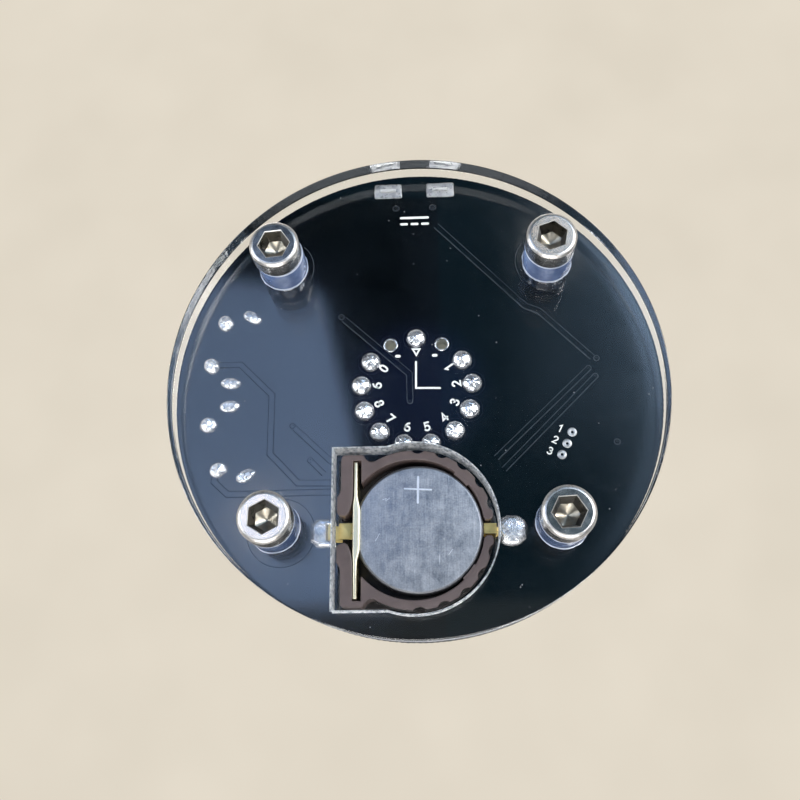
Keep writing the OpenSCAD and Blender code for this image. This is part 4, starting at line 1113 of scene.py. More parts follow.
# ------------------------------------------------------------------ battery holder, contacts, cell
def holder_half():
    """Outline of one half of the holder's wall, in its own frame, y > 0."""
    pts = []
    end = 180 - math.degrees(math.asin(1.2 / 7.225))
    a0, a1 = end, 59.5
    n = 160
    flutes = [180 - (17 + 17.5 * k) for k in range(5)]
    for i in range(n + 1):
        a = a0 + (a1 - a0) * i / n
        r = 7.7
        for fa in flutes:
            d = abs(math.radians(a - fa)) * 7.7
            if d < 0.62:
                r = min(r, 8.15 - math.sqrt(max(0.0, 0.5625 - d * d)))
        pts.append((r * math.cos(math.radians(a)), r * math.sin(math.radians(a))))
    pts += [(4.15, 6.62), (4.45, 6.72), (4.72, 6.95), (4.86, 7.22), (5.02, 7.35), (6.7, 7.35), (6.95, 7.28), (7.08, 7.1), (7.12, 6.9), (7.12, 3.9), (7.2, 3.6), (7.5, 3.15),
            (7.5, 1.78), (7.44, 1.58), (7.3, 1.45), (6.85, 1.28), (6.68, 1.28), (6.5, 1.4), (6.3, 1.65), (6.1, 2.2), (5.95, 2.9), (5.92, 3.1), (5.92, 6.75), (5.13, 6.75), (5.13, 4.52)]
    pts += arc(0, 0, 6.75, 42.1, end, 90)
    e = math.radians(end)
    cx, cy = 7.225 * math.cos(e), 7.225 * math.sin(e)
    pts += arc(cx, cy, 0.475, end + 170, end + 10, 10)
    return pts


half = holder_half()
loops = [[(HX + x, HY + y) for x, y in half], [(HX + x, HY - y) for x, y in half]]


# outward walls of the flutes take the nearly black copy: painted shade
def frame_pick(c, n):
    dx, dy = c.x - HX, c.y - HY
    return 1 if abs(n.z) < 0.25 and math.hypot(dx, dy) > 7.3 and dx < 4.0 and n.x * dx + n.y * dy > 0 else 0


plate("battery_frame", loops, 7.0, 9.66, 0.13, [HOLDER, HOLDER_SHADE], frame_pick, rep=("battery_holder",), seg=3, angle=35)
# the floor sheet under the holder is all in the nearly black copy: painted shade in the gap and the flutes
floor_loop = [(HX + x, HY + y) for x, y in arc(0, 0, 7.68, 75, 285, 110) + [(2.6, -7.33), (7.18, -7.33), (7.18, 7.33), (2.6, 7.33)]]
plate("battery_floor", [floor_loop, circle(HX, HY, 2.7, 64)], 9.66, 10.14, 0.06, [HOLDER_SHADE])
sh = Shape()
for a, inner in ((134, 6.56), (-141, 6.60)):
    c = math.radians(a)
    outer = 6.9
    w0 = math.radians(7.3)
    pts = [(inner * math.cos(c + w0 * t), inner * math.sin(c + w0 * t)) for t in (-1, -0.6, -0.2, 0.2, 0.6, 1)]
    pts += [(outer * math.cos(c + w0 * 1.1 * t), outer * math.sin(c + w0 * 1.1 * t)) for t in (1, 0.6, 0.2, -0.2, -0.6, -1)]
    loop = [(HX + x, HY + y) for x, y in pts]
    mid = (sum(q[0] for q in loop) / 12, sum(q[1] for q in loop) / 12)
    small = [(mid[0] + (x - mid[0]) * 0.94, mid[1] + (y - mid[1]) * 0.86) for x, y in loop]
    sh.rings([[(x, y, 7.02) for x, y in small], [(x, y, 7.07) for x, y in loop], [(x, y, 7.6) for x, y in loop]])
sh.make("battery_nubs", [HOLDER], angle=30)
# sprung strip: its lower edge is turned over the rim of the cell
lip = [(5.50, -6.6), (5.49, -3.3), (5.45, -2.9), (5.30, -2.3), (5.23, -1.9), (5.22, 1.9), (5.28, 2.3), (5.40, 2.9), (5.46, 3.3), (5.46, 6.6), (5.80, 6.6), (5.82, 3.3), (5.92, 2.4),
       (5.94, -2.4), (5.88, -3.3), (5.87, -6.6)]
# the lip takes the paler gold, a painted highlight
plate("spring_lip", [[(HX + x, HY + y) for x, y in lip]], 6.90, 7.27, 0.15, [SPRING_HIGHLIGHT], rep=("battery_spring",), seg=3, angle=50)
strip = [(5.50, -6.55), (5.50, -2.9), (5.52, -1.5), (5.54, -0.4), (5.54, 0.4), (5.52, 1.5), (5.48, 2.9), (5.48, 6.55), (5.78, 6.55), (5.78, 2.9), (5.82, 1.5), (5.86, 0.4),
         (5.86, -0.4), (5.83, -1.5), (5.82, -2.9), (5.85, -6.55)]
plate("spring_strip", [[(HX + x, HY + y) for x, y in strip]], 7.2, 9.6, 0.05, [GOLD], seg=1, angle=50)
plate("spring_tab_inner", [[(HX + x, HY + y) for x, y in ((5.80, -0.8), (7.3, -0.8), (7.4, -0.7), (7.4, 0.7), (7.3, 0.8), (5.80, 0.8))]], 8.1, 8.3, 0.05, [GOLD_TAB], seg=2, angle=50)
plate("spring_tab_outer", [[(HX + x, HY + y) for x, y in ((5.75, -0.8), (9.6, -0.8), (9.75, -0.65), (9.75, 0.65), (9.6, 0.8), (5.75, 0.8))]], 9.9, 10.14, 0.05, [GOLD_TAB], seg=2, angle=50)
cad("battery_contact", GOLD_TAB)

sh = Shape()
R = 6.25
prof = [(0, 0), (5.86, 0), (5.97, 0.01), (6.07, 0.04), (6.15, 0.09), (6.21, 0.17), (6.24, 0.26), (R, 0.36), (R, 1.62), (6.2, 1.72), (6.05, 1.79), (5.8, 1.88), (5.8, 1.70),
        (6.03, 1.58), (6.03, 0.45), (5.8, 0.24), (0, 0.24)]
sh.lathe(prof, 128, 0, Matrix.Translation((CELL_X, HY, CELL_Z)))
# the rounded edge and side of the can take the darker copy, painted shade that keeps the edge from catching light
for b in range(2, 8):
    for q in range(128):
        sh.mi[b * 128 + q] = 1
sh.make("cell_can_drawn", [CELL, CELL_EDGE_SHADE], body="coin_cell", rep=("cell_can",), angle=35)
sh = Shape()
stroke(sh, [P(0.08, -9.40), P(0.02, -11.95)], 0.22, CELL_Z, 0.012)
stroke(sh, [P(-1.25, -10.55), P(1.33, -10.70)], 0.17, CELL_Z, 0.013)
for line in ([(-3.42, -11.62), (-3.05, -11.48), (-3.12, -11.75), (-2.72, -11.45)], [(-4.1, -15.6), (-3.7, -14.9)], [(2.9, -17.0), (3.3, -16.5)]):
    stroke(sh, [P(*q) for q in line], 0.035, CELL_Z, 0.005)
sh.make("cell_polarity_mark", [CELL_MARK], body="coin_cell", angle=40)
cad("cell_gasket", GASKET)
cad("cell_cap", CELL)


# ------------------------------------------------------------------ tube
def dome(r, h, z, n):
    return [(r * max(0.0, math.cos(PI / 2 * i / n)) ** 0.72, z + h * math.sin(PI / 2 * i / n)) for i in range(n + 1)]


sh = Shape()
r, w, zb, zs = 9.2, 0.9, 14.6, 55.6
outer = [(r - 0.2, zb), (r, zb + 0.3), (r, 20), (r, 30), (r, 40), (r, 50)] + dome(r, 7, zs, 40)
inner = list(reversed(dome(r - w, 7 - w, zs, 40))) + [(r - w, 50), (r - w, 40), (r - w, 30), (r - w, 20), (r - w, zb)]
outer[-1] = (0, outer[-1][1])
inner[0] = (0, inner[0][1])
sh.lathe(outer + inner, 128, 0, closed=True)
env = sh.make("tube_bulb", [GLASS], rep=("tube_envelope",), angle=40)


def m_film(name):
    """The silvered patch that the getter left on the inside of the dome."""
    g = Graph(name)
    x, y, z = g.xyz()
    r2 = g.math("ADD", g.math("MULTIPLY", x, x), g.math("MULTIPLY", y, y))
    rr = g.math("MULTIPLY", g.math("SQRT", r2), 1000.0)
    wob = g.rng(g.noise(3.0, 3), -0.9, 0.9, 0.3, 0.7)
    fac = g.ramp(g.math("DIVIDE", g.math("ADD", rr, wob), 10.0), [(0.20, (1, 1, 1)), (0.36, (0.55, 0.55, 0.55)), (0.56, (0, 0, 0))])
    f = g.noise(1.2, 3)
    body = g.principled(color=g.ramp(f, [(0.3, (0.20, 0.19, 0.18)), (0.7, (0.36, 0.35, 0.34))]), rough=g.rng(f, 0.10, 0.22), metallic=1.0)
    tr = g.n("ShaderNodeBsdfTransparent")
    mx = g.n("ShaderNodeMixShader")
    g.link(fac, mx.inputs[0])
    g.link(tr.outputs[0], mx.inputs[1])
    g.link(body, mx.inputs[2])
    return g.done(mx.outputs[0])


sh = Shape()
film = [q for q in dome(r - w - 0.03, 7 - w - 0.03, zs, 40) if q[0] < 6.2]
under = [(max(0.0, q[0] - 0.012), q[1] - 0.012) for q in film]
film[-1] = (0, film[-1][1])
under[-1] = (0, under[-1][1])
sh.lathe(film + list(reversed(under)), 96, 0, closed=True)
sh.make("getter_film", [m_film("getter_film")], angle=60)
cad("tube_stem", STEM)
cad("tube_seat", SEAT)
cad("tube_leads", WIRE)
for i in range(10):
    cad("digit_%d" % i, NICKEL)
cad("decimal_points", NICKEL)
cad("anode_mesh", MESH_N)
cad("rear_shield", SHIELD)
cad("lower_insulator", MICA)
cad("upper_insulator", MICA)
cad("support_rods", WIRE)
cad("cathode_spacers", CERAMIC)
cad("getter", GETTER)

# ------------------------------------------------------------------ socket, switches
cad("usb_shell", TINSHEET, edge=0.09)
cad("usb_insulator", BLACK, edge=0.03)
cad("usb_contacts", GOLD)
for i in (1, 2):
    cad("switch_%d_body" % i, BLACK, edge=0.10)
    cad("switch_%d_bracket" % i, TINSHEET, edge=0.06)
    cad("switch_%d_button" % i, BLACK, edge=0.07)
cad("switch_terminals", WIRE)
cad("switch_domes", NICKEL)


# ------------------------------------------------------------------ parts on the board
def rbox(shape, x0, x1, y0, y1, z0, z1, b=0.06, mat=0, mx=None):
    """A block with its edges broken."""
    def ring(q, z):
        a, c, d, e = x0 + q, x1 - q, y0 + q, y1 - q
        return [(a + b, d, z), (c - b, d, z), (c, d + b, z), (c, e - b, z), (c - b, e, z), (a + b, e, z), (a, e - b, z), (a, d + b, z)]
    shape.rings([ring(b, z0), ring(0, z0 + b), ring(0, z1 - b), ring(b, z1)], mat, mx)


def strip(shape, pts, t, w, mat=0, mx=None):
    """A bent strip: pts (u, z) is its middle line, t its thickness, w its width."""
    l, r_ = mitre(pts, t / 2)
    v, f = [], []
    for a, c in zip(l, r_):
        v += [(a.x, -w / 2, a.y), (a.x, w / 2, a.y), (c.x, w / 2, c.y), (c.x, -w / 2, c.y)]
    k = len(pts)
    for i in range(k - 1):
        a, b = 4 * i, 4 * (i + 1)
        for j in range(4):
            f.append((a + j, a + (j + 1) % 4, b + (j + 1) % 4, b + j))
    f += [(3, 2, 1, 0), (4 * k - 4, 4 * k - 3, 4 * k - 2, 4 * k - 1)]
    shape.add(v, f, mat, mx)


def wire(shape, pts, rad, mat=0, n=16):
    """A round wire along points in space, with flat ends."""
    ps = [Vector(q) for q in pts]
    rows = []
    side = None
    for i, q in enumerate(ps):
        d = (ps[min(i + 1, len(ps) - 1)] - ps[max(i - 1, 0)]).normalized()
        if side is None:
            side = d.orthogonal().normalized()
        side = (side - d * side.dot(d)).normalized()
        up_ = d.cross(side)
        rows.append([tuple(q + side * rad * math.cos(2 * PI * k / n) + up_ * rad * math.sin(2 * PI * k / n)) for k in range(n)])
    shape.rings(rows, mat)


def mound(shape, mx, x, y, rx, ry, h, seed, mat):
    """Solder that has run round a foot."""
    c = mx @ Vector((x, y, 0))
    rot = math.atan2(mx[1][0], mx[0][0])
    blob(shape, c.x, c.y, rx, ry, h, rot, seed, z=Z_TOP, up=1, n=20, rows=5, rough=0.05, power=0.45, square=4.0, mat=mat)


def place(x, y, rot=0.0):
    return Matrix.Translation((x, y, Z_TOP)) @ Matrix.Rotation(math.radians(rot), 4, "Z")


def legs(shape, mx, count, pitch, w, reach, rise, seed):
    h = rise - 0.075
    line = [(-0.05, h), (0.20 * reach, h), (0.31 * reach, h - 0.03), (0.39 * reach, h - 0.13), (0.46 * reach, 0.24), (0.53 * reach, 0.13), (0.64 * reach, 0.078), (reach, 0.075)]
    for i in range(count):
        y = (i - (count - 1) / 2) * pitch
        strip(shape, line, 0.15, w, 1, mx @ Matrix.Translation((0, y, 0)))
        mound(shape, mx, reach * 0.80, y, reach * 0.36, w * 0.66, 0.11, seed + i, 2)


def epoxy(shape, mx, bx, by, z0, h, dot=None):
    """A moulded body, drawn in above and below its parting line."""
    def ring(q, z, b=0.10):
        a, c = bx / 2 - q, by / 2 - q
        return [(-a + b, -c, z), (a - b, -c, z), (a, -c + b, z), (a, c - b, z), (a - b, c, z), (-a + b, c, z), (-a, c - b, z), (-a, -c + b, z)]
    zm = (z0 + h) / 2
    shape.rings([ring(0.12, z0), ring(0.01, zm - 0.03), ring(0.0, zm), ring(0.01, zm + 0.03), ring(0.10, h - 0.035), ring(0.13, h)], 0, mx)
    if dot:
        # a shallow round mark at pin one
        shape.lathe([(0, h + 0.004), (dot[2] * 0.86, h + 0.004), (dot[2] * 0.93, h + 0.018), (dot[2], h - 0.01)], 32, 3, mx @ Matrix.Translation((dot[0], dot[1], 0)))


MARK = plastic("polished_mark", (0.030, 0.030, 0.031), (0.16, 0.26), 0.3, 0.03, 0.1)
PARTS = [EPOXY, LEG, SOLDER, MARK]
sh = Shape()
m = place(-15.6, -0.8)
epoxy(sh, m, 7.0, 7.0, 0.1, 1.05, (-2.8, 2.8, 0.35))
for q in range(4):
    legs(sh, m @ Matrix.Rotation(PI / 2 * q, 4, "Z") @ Matrix.Translation((3.5, 0, 0)), 8, 0.8, 0.35, 1.0, 0.55, 100 + 10 * q)
sh.make("microcontroller_moulded", PARTS, rep=("microcontroller",), angle=30)
for nm, m, count, by in (("cathode_driver", place(-7.4, 15.2), 8, 9.9), ("clock_chip", place(-7, -16.6, 90), 4, 4.9)):
    sh = Shape()
    epoxy(sh, m, 3.9, by, 0.12, 1.6, (-1.2, by / 2 - 0.75, 0.32))
    for q in range(2):
        legs(sh, m @ Matrix.Rotation(PI * q, 4, "Z") @ Matrix.Translation((1.95, 0, 0)), count, 1.27, 0.42, 1.05, 0.8, 200 + 20 * q + by)
    sh.make(nm + "_moulded", PARTS, rep=(nm,), angle=30)
sh = Shape()
m = place(12.7, 7.2)
epoxy(sh, m, 1.3, 2.9, 0.1, 1.1)
for y in (-0.95, 0.95):
    legs(sh, m @ Matrix.Translation((0.65, y, 0)), 1, 1, 0.4, 0.6, 0.6, 300 + y)
legs(sh, m @ Matrix.Rotation(PI, 4, "Z") @ Matrix.Translation((0.65, 0, 0)), 1, 1, 0.4, 0.6, 0.6, 305)
sh.make("boost_switch_moulded", PARTS, rep=("boost_switch",), angle=30)
sh = Shape()
m = place(12.3, 3.4)
epoxy(sh, m, 4.3, 2.6, 0.15, 2.1)
rbox(sh, -1.62, -1.10, -1.16, 1.16, 2.08, 2.108, 0.01, 4, m)
for q in (0, 1):
    k = m @ Matrix.Rotation(PI * q, 4, "Z")
    strip(sh, [(2.0, 1.02), (2.28, 1.02), (2.42, 0.98), (2.48, 0.86), (2.48, 0.25), (2.42, 0.12), (2.28, 0.08), (1.5, 0.08)], 0.16, 1.45, 1, k)
    mound(sh, k, 2.42, 0, 0.42, 0.92, 0.2, 310 + q, 2)
sh.make("boost_diode_moulded", PARTS + [BAND], rep=("boost_diode",), angle=30)

sh = Shape()
m = place(-2.6, -12.6)
rbox(sh, -1.6, 1.6, -0.75, 0.75, 0.0, 0.45, 0.06, 0, m)
rbox(sh, -1.47, 1.47, -0.62, 0.62, 0.44, 0.56, 0.05, 1, m)
rbox(sh, -1.38, 1.38, -0.53, 0.53, 0.50, 0.80, 0.12, 1, m)
for q in (-1, 1):
    mound(sh, m, q * 1.5, 0, 0.36, 0.72, 0.16, 320 + q, 2)
sh.make("crystal_lidded", [BISCUIT, TINSHEET, SOLDER], rep=("crystal",), angle=30)

# coil: a wound drum inside a square shield
ix, iy = 7.6, 15.7
oct_ = [(-2.3, -3), (2.3, -3), (3, -2.3), (3, 2.3), (2.3, 3), (-2.3, 3), (-3, 2.3), (-3, -2.3)]
plate("inductor_shield", [[(ix + x, iy + y) for x, y in oct_], circle(ix, iy, 2.5, 64)], Z_TOP + 0.12, Z_TOP + 2.9, 0.07, [FERRITE], rep=("boost_inductor",), seg=2, angle=30)
sh = Shape()
m = place(ix, iy)
sh.lathe([(0, 0.1), (2.3, 0.1), (2.34, 0.15), (2.34, 0.45), (2.28, 0.5), (1.2, 0.5), (1.2, 2.3), (2.28, 2.3), (2.34, 2.35), (2.34, 2.76), (2.26, 2.84), (0.5, 2.84), (0.42, 2.78), (0, 2.78)], 72, 0, m)
coil = [(1.25, 0.52)]
for q in range(8):
    z0 = 0.52 + q * 0.22
    coil += [(2.36, z0 + 0.02), (2.43, z0 + 0.07), (2.43, z0 + 0.15), (2.36, z0 + 0.20)]
coil += [(1.25, 2.28)]
sh.lathe(coil, 64, 1, m, closed=True)
for q in (-1, 1):
    rbox(sh, min(q * 2.2, q * 3.02), max(q * 2.2, q * 3.02), -1.0, 1.0, 0.0, 0.22, 0.04, 2, m)
    mound(sh, m, q * 3.0, 0, 0.36, 1.15, 0.24, 330 + q, 3)
sh.make("inductor_drum", [FERRITE, COPPER, LEG, SOLDER], angle=30)

# reservoir capacitor, lying along X with its leads bent down
cx0, cy0, cz0 = 0.2, -17.0, Z_TOP + 3.2
m = Matrix.Translation((cx0, cy0, cz0)) @ Matrix.Rotation(PI / 2, 4, "Y")
sh = Shape()
prof = [(0, 0.12), (2.3, 0.12), (2.45, 0.0), (2.72, 0.0), (2.95, 0.06), (3.07, 0.2), (3.1, 0.36), (3.1, 1.15), (3.05, 1.3), (2.93, 1.45), (2.88, 1.6), (2.93, 1.75), (3.05, 1.9), (3.1, 2.05),
        (3.1, 9.75), (3.06, 9.98), (2.95, 10.16), (2.78, 10.27), (2.6, 10.29), (2.5, 10.25), (2.46, 10.15), (0, 10.15)]
sh.lathe(prof, 96, 0, m)
k0 = len(sh.mi) - 96 * (len(prof) - 1)
for q in range(96):
    sh.mi[k0 + q] = 1
    sh.mi[k0 + 96 + q] = 1
    sh.mi[k0 + 96 * (len(prof) - 2) + q] = 2
# pressed vent: two shallow bars across the can's end
for a in (0, 90):
    mm = m @ Matrix.Rotation(math.radians(a + 30), 4, "Z")
    rbox(sh, -1.7, 1.7, -0.09, 0.09, 10.13, 10.165, 0.012, 2, mm)
# light band along the sleeve, with plain bars
for lo_, hi_, rad, mt in ((-26, 26, 3.112, 3), (-15, 15, 3.118, 0)):
    zz = [(2.25, 9.6)] if mt == 3 else [(3.0 + 1.7 * q, 3.9 + 1.7 * q) for q in range(4)]
    for za, zb_ in zz:
        v, f = [], []
        nn = 16
        for j, z_ in enumerate((za, zb_)):
            for i in range(nn + 1):
                a = math.radians(205 + lo_ + (hi_ - lo_) * i / nn) if mt == 3 else math.radians(205 + (lo_ + (hi_ - lo_) * i / nn) * 0.55)
                v.append((rad * math.cos(a), rad * math.sin(a), z_))
        for j, z_ in enumerate((za, zb_)):
            for i in range(nn + 1):
                a = math.radians(205 + lo_ + (hi_ - lo_) * i / nn) if mt == 3 else math.radians(205 + (lo_ + (hi_ - lo_) * i / nn) * 0.55)
                v.append((3.09 * math.cos(a), 3.09 * math.sin(a), z_))
        o = 2 * (nn + 1)
        for i in range(nn):
            f.append((i, i + 1, nn + 2 + i, nn + 1 + i))
            f.append((o + nn + 1 + i, o + nn + 2 + i, o + i + 1, o + i))
            f.append((i, o + i, o + i + 1, i + 1))
            f.append((nn + 1 + i, nn + 2 + i, o + nn + 2 + i, o + nn + 1 + i))
        f.append((0, nn + 1, o + nn + 1, o))
        f.append((nn, o + nn, o + 2 * nn + 1, 2 * nn + 1))
        sh.add(v, f, mt, m)
for y in (-1.25, 1.25):
    pts = [(cx0 + 0.2, cy0 + y, cz0), (cx0 - 0.3, cy0 + y, cz0), (cx0 - 0.62, cy0 + y, cz0)]
    pts += [(cx0 - 0.62 - 0.58 * math.sin(t), cy0 + y, cz0 - 0.58 + 0.58 * math.cos(t)) for t in [PI / 2 * i / 8 for i in range(1, 9)]]
    pts += [(cx0 - 1.2, cy0 + y, Z_TOP + 1.2), (cx0 - 1.2, cy0 + y, Z_TOP + 0.02)]
    wire(sh, pts, 0.25, 4)
    blob(sh, cx0 - 1.2, cy0 + y, 0.62, 0.62, 0.34, 0, 340 + y, z=Z_TOP, up=1, n=24, rows=6, rough=0.04, power=0.9, mat=5)
sh.make("reservoir_capacitor_sleeved", [SLEEVE, RUBBER, CANTOP, BAND, WIRE, SOLDER], rep=("reservoir_capacitor",), angle=32)


def passive(shape, x, y, rot, l, w_, h, seed, glaze):
    m_ = place(x, y, rot)
    e = l / 2
    if glaze:
        rbox(shape, -e + 0.3, e - 0.3, -w_ / 2 + 0.02, w_ / 2 - 0.02, 0.04, h - 0.07, 0.02, 0, m_)
        rbox(shape, -e + 0.32, e - 0.32, -w_ / 2 + 0.05, w_ / 2 - 0.05, h - 0.09, h - 0.015, 0.02, 3, m_)
    else:
        rbox(shape, -e + 0.25, e - 0.25, -w_ / 2 + 0.03, w_ / 2 - 0.03, 0.03, h - 0.03, 0.04, 0, m_)
    for s_ in (-1, 1):
        rbox(shape, min(s_ * e, s_ * (e - 0.38)), max(s_ * e, s_ * (e - 0.38)), -w_ / 2, w_ / 2, 0.0, h, 0.06, 1, m_)
        mound(shape, m_, s_ * (e + 0.02), 0, 0.34, w_ * 0.56, min(h * 0.55, 0.3), seed + s_, 2)


sh = Shape()
for q, (x, y, a) in enumerate(((11.8, -9.4, 90), (13.6, -7.2, 90), (11.6, -5.6, 90), (13.6, -3.4, 90), (11.4, -1.8, 90), (13.2, 0.6, 0), (-12.4, 7.4, 0), (-15.6, 7.4, 0))):
    passive(sh, x, y, a, 2.0, 1.25, 0.5, 400 + 3 * q, True)
sh.make("chip_resistors_capped", [BISCUIT, LEG, SOLDER, CHIP_R], rep=("chip_resistors",), angle=30)
sh = Shape()
for q, (x, y, a) in enumerate(((0, 11.6, 0), (0, 14.4, 0), (3, 18.2, 90), (-18.9, 7.2, 0), (-12.4, -8.4, 0), (-15.6, -8.4, 0), (-2.6, -21.8, 0))):
    passive(sh, x, y, a, 2.0, 1.25, 0.9, 500 + 3 * q, False)
sh.make("chip_capacitors_capped", [CHIP_C, LEG, SOLDER], rep=("chip_capacitors",), angle=30)

# conductors on the upper face
sh = Shape()
# sides of the upper traces take the painted highlight copy of the slope
for line, w_ in (
        ([(-11.0, -0.8), (-8.6, -3.2), (-8.6, -8.0)], 0.4), ([(-11.0, 1.6), (-9.2, 3.4), (-9.2, 9.4)], 0.4), ([(-11.0, 0.8), (-9.9, 1.9), (-9.9, 9.6)], 0.35),
        ([(-20.2, -1.6), (-21.6, -3.0), (-21.6, -5.2)], 0.4), ([(-17.0, 4.2), (-17.0, 5.6), (-18.0, 6.6)], 0.35), ([(-14.0, -5.6), (-14.0, -6.8), (-12.9, -7.6)], 0.35),
        ([(-4.4, 10.8), (-2.6, 10.8), (-1.4, 11.6)], 0.4), ([(-4.4, 18.4), (-2.0, 18.4), (1.4, 18.6)], 0.6), ([(4.4, 15.7), (2.4, 15.7), (1.4, 14.6)], 0.9),
        ([(10.8, 15.7), (12.0, 14.5), (12.9, 8.6)], 1.0), ([(12.0, 6.2), (11.0, 5.2), (9.6, 5.2)], 0.5), ([(14.4, 3.4), (15.8, 2.0), (15.8, -3.0)], 0.5),
        ([(11.6, -4.4), (11.6, -3.0)], 0.4), ([(11.8, -8.2), (11.8, -7.0)], 0.4), ([(13.6, -6.0), (13.6, -4.6)], 0.4), ([(-4.6, -13.4), (-4.0, -12.6)], 0.35),
        ([(-1.0, -12.6), (2.4, -11.6), (9.6, -11.0), (11.4, -10.6)], 0.4), ([(-10.4, -14.7), (-11.4, -13.4), (-11.4, -9.6)], 0.35)):
    track(sh, line, w_, Z_TOP, 0.045, 0.10, up=1, side=1)
for x, y in ((-8.6, -8.3), (-9.2, 9.7), (-9.9, 9.9), (-21.6, -5.5), (9.3, 5.2), (15.8, -3.3), (-11.4, -9.3)):
    sh.lathe([(0.10, Z_TOP), (0.17, Z_TOP + 0.05), (0.34, Z_TOP + 0.05), (0.42, Z_TOP + 0.02), (0.52, Z_TOP)], 28, 0, Matrix.Translation((x, y, 0)), closed=True)
sh.make("upper_conductors", [TRACK, STEP_HIGHLIGHT], angle=8)

# ------------------------------------------------------------------ stage: pale floor seen from above, pale backdrop above for the view from below
def m_pale(name, c=(0.70, 0.69, 0.675), unseen_in_mirrors=False):
    g = Graph(name)
    f = g.noise(9.0, 3, 0.5)
    col = g.ramp(f, [(0.3, tuple(v * 0.985 for v in c)), (0.7, c)])
    d = g.principled(color=col, rough=0.75, spec=0.15)
    geo = g.n("ShaderNodeNewGeometry")
    tr = g.n("ShaderNodeBsdfTransparent")
    mx = g.n("ShaderNodeMixShader")
    hide = geo.outputs["Backfacing"]
    if unseen_in_mirrors:
        lp = g.n("ShaderNodeLightPath")
        hide = g.math("MAXIMUM", hide, g.math("GREATER_THAN", lp.outputs["Glossy Depth"], 0.5))
    g.link(hide, mx.inputs[0])
    g.link(d, mx.inputs[1])
    g.link(tr.outputs[0], mx.inputs[2])
    return g.done(mx.outputs[0])


PALE = m_pale("pale_floor")
PALE_MID = m_pale("pale_floor_centre", unseen_in_mirrors=True)


def stage_mesh(name, verts, faces, material, smooth=True):
    me = bpy.data.meshes.new(name)
    me.from_pydata(verts, [], faces)
    me.materials.append(material)
    me.polygons.foreach_set("use_smooth", [smooth] * len(me.polygons))
    ob = bpy.data.objects.new(name, me)
    scene.collection.objects.link(ob)
    return ob


n = 96
FZ = -0.00015
prof = [(0.034, FZ), (0.2, FZ), (0.55, FZ)] + [(0.55 + 0.4 * math.sin(t), FZ + 0.4 - 0.4 * math.cos(t)) for t in [PI / 2 * i / 12 for i in range(1, 13)]] + [(0.95, 1.1)]
verts, faces = [], []
for r_, z_ in prof:
    verts += [(r_ * math.cos(2 * PI * i / n), r_ * math.sin(2 * PI * i / n), z_) for i in range(n)]
for k in range(len(prof) - 1):
    for i in range(n):
        j = (i + 1) % n
        faces.append((k * n + i, (k + 1) * n + i, (k + 1) * n + j, k * n + j))
floor_wide = stage_mesh("stage_floor", verts, faces, PALE)
verts = [(0.034 * math.cos(2 * PI * i / n), 0.034 * math.sin(2 * PI * i / n), FZ) for i in range(n)]
floor_mid = stage_mesh("stage_floor_centre", verts, [tuple(range(n))], PALE_MID, False)
for o in (floor_wide, floor_mid):
    o.visible_shadow = False
floor_mid.visible_diffuse = False
BACKDROP = Graph("pale_backdrop")
BACKDROP_E = BACKDROP.n("ShaderNodeEmission")
BACKDROP.link(BACKDROP.ramp(BACKDROP.noise(60.0, 2), [(0.3, (0.735, 0.672, 0.565)), (0.7, (0.775, 0.71, 0.60))]), BACKDROP_E.inputs["Color"])
BACKDROP_E.inputs["Strength"].default_value = 1.0
BACKDROP_G = BACKDROP.n("ShaderNodeNewGeometry")
BACKDROP_T = BACKDROP.n("ShaderNodeBsdfTransparent")
BACKDROP_M = BACKDROP.n("ShaderNodeMixShader")
BACKDROP.link(BACKDROP_G.outputs["Backfacing"], BACKDROP_M.inputs[0])
BACKDROP.link(BACKDROP_E.outputs[0], BACKDROP_M.inputs[1])
BACKDROP.link(BACKDROP_T.outputs[0], BACKDROP_M.inputs[2])
BACKDROP.done(BACKDROP_M.outputs[0])
bx, by, bz, bs = 0.02, 0.11, 0.38, 0.29
back = stage_mesh("stage_backdrop", [(bx - bs, by - bs, bz), (bx - bs, by + bs, bz), (bx + bs, by + bs, bz), (bx + bs, by - bs, bz)], [(0, 1, 2, 3)], BACKDROP.m, False)
back.visible_shadow = False
back.visible_diffuse = False
back.visible_glossy = False


def soft_panel(name, fn, z, x0, x1, y0, y1, colour, nx=60, ny=60, see_through=False):
    """A glowing sheet whose brightness fades by a formula."""
    verts, faces, vals = [], [], []
    for j in range(ny + 1):
        for i in range(nx + 1):
            x, y = x0 + (x1 - x0) * i / nx, y0 + (y1 - y0) * j / ny
            verts.append((x, y, z))
            vals.append(max(0.0, fn(x, y)))
    for j in range(ny):
        for i in range(nx):
            a = j * (nx + 1) + i
            faces.append((a, a + 1, a + nx + 2, a + nx + 1))
    g = Graph(name)
    e = g.n("ShaderNodeEmission")
    e.inputs["Color"].default_value = (*colour, 1.0)
    at = g.n("ShaderNodeAttribute", attribute_name="glow")
    g.link(at.outputs["Fac"], e.inputs["Strength"])
    out = e.outputs[0]
    if see_through:
        tr = g.n("ShaderNodeBsdfTransparent")
        ad = g.n("ShaderNodeAddShader")
        g.link(e.outputs[0], ad.inputs[0])
        g.link(tr.outputs[0], ad.inputs[1])
        out = ad.outputs[0]
    ob = stage_mesh(name, verts, faces, g.done(out), False)
    ob.data.attributes.new("glow", "FLOAT", "POINT").data.foreach_set("value", vals)
    ob.visible_camera = False
    return ob


def ramp01(t):
    t = min(1.0, max(0.0, t))
    return t * t * (3 - 2 * t)


def line_side(x, y, ax, ay, bx_, by_):
    """Signed distance from a line, positive on its left."""
    dx, dy = bx_ - ax, by_ - ay
    return ((y - ay) * dx - (x - ax) * dy) / math.hypot(dx, dy)


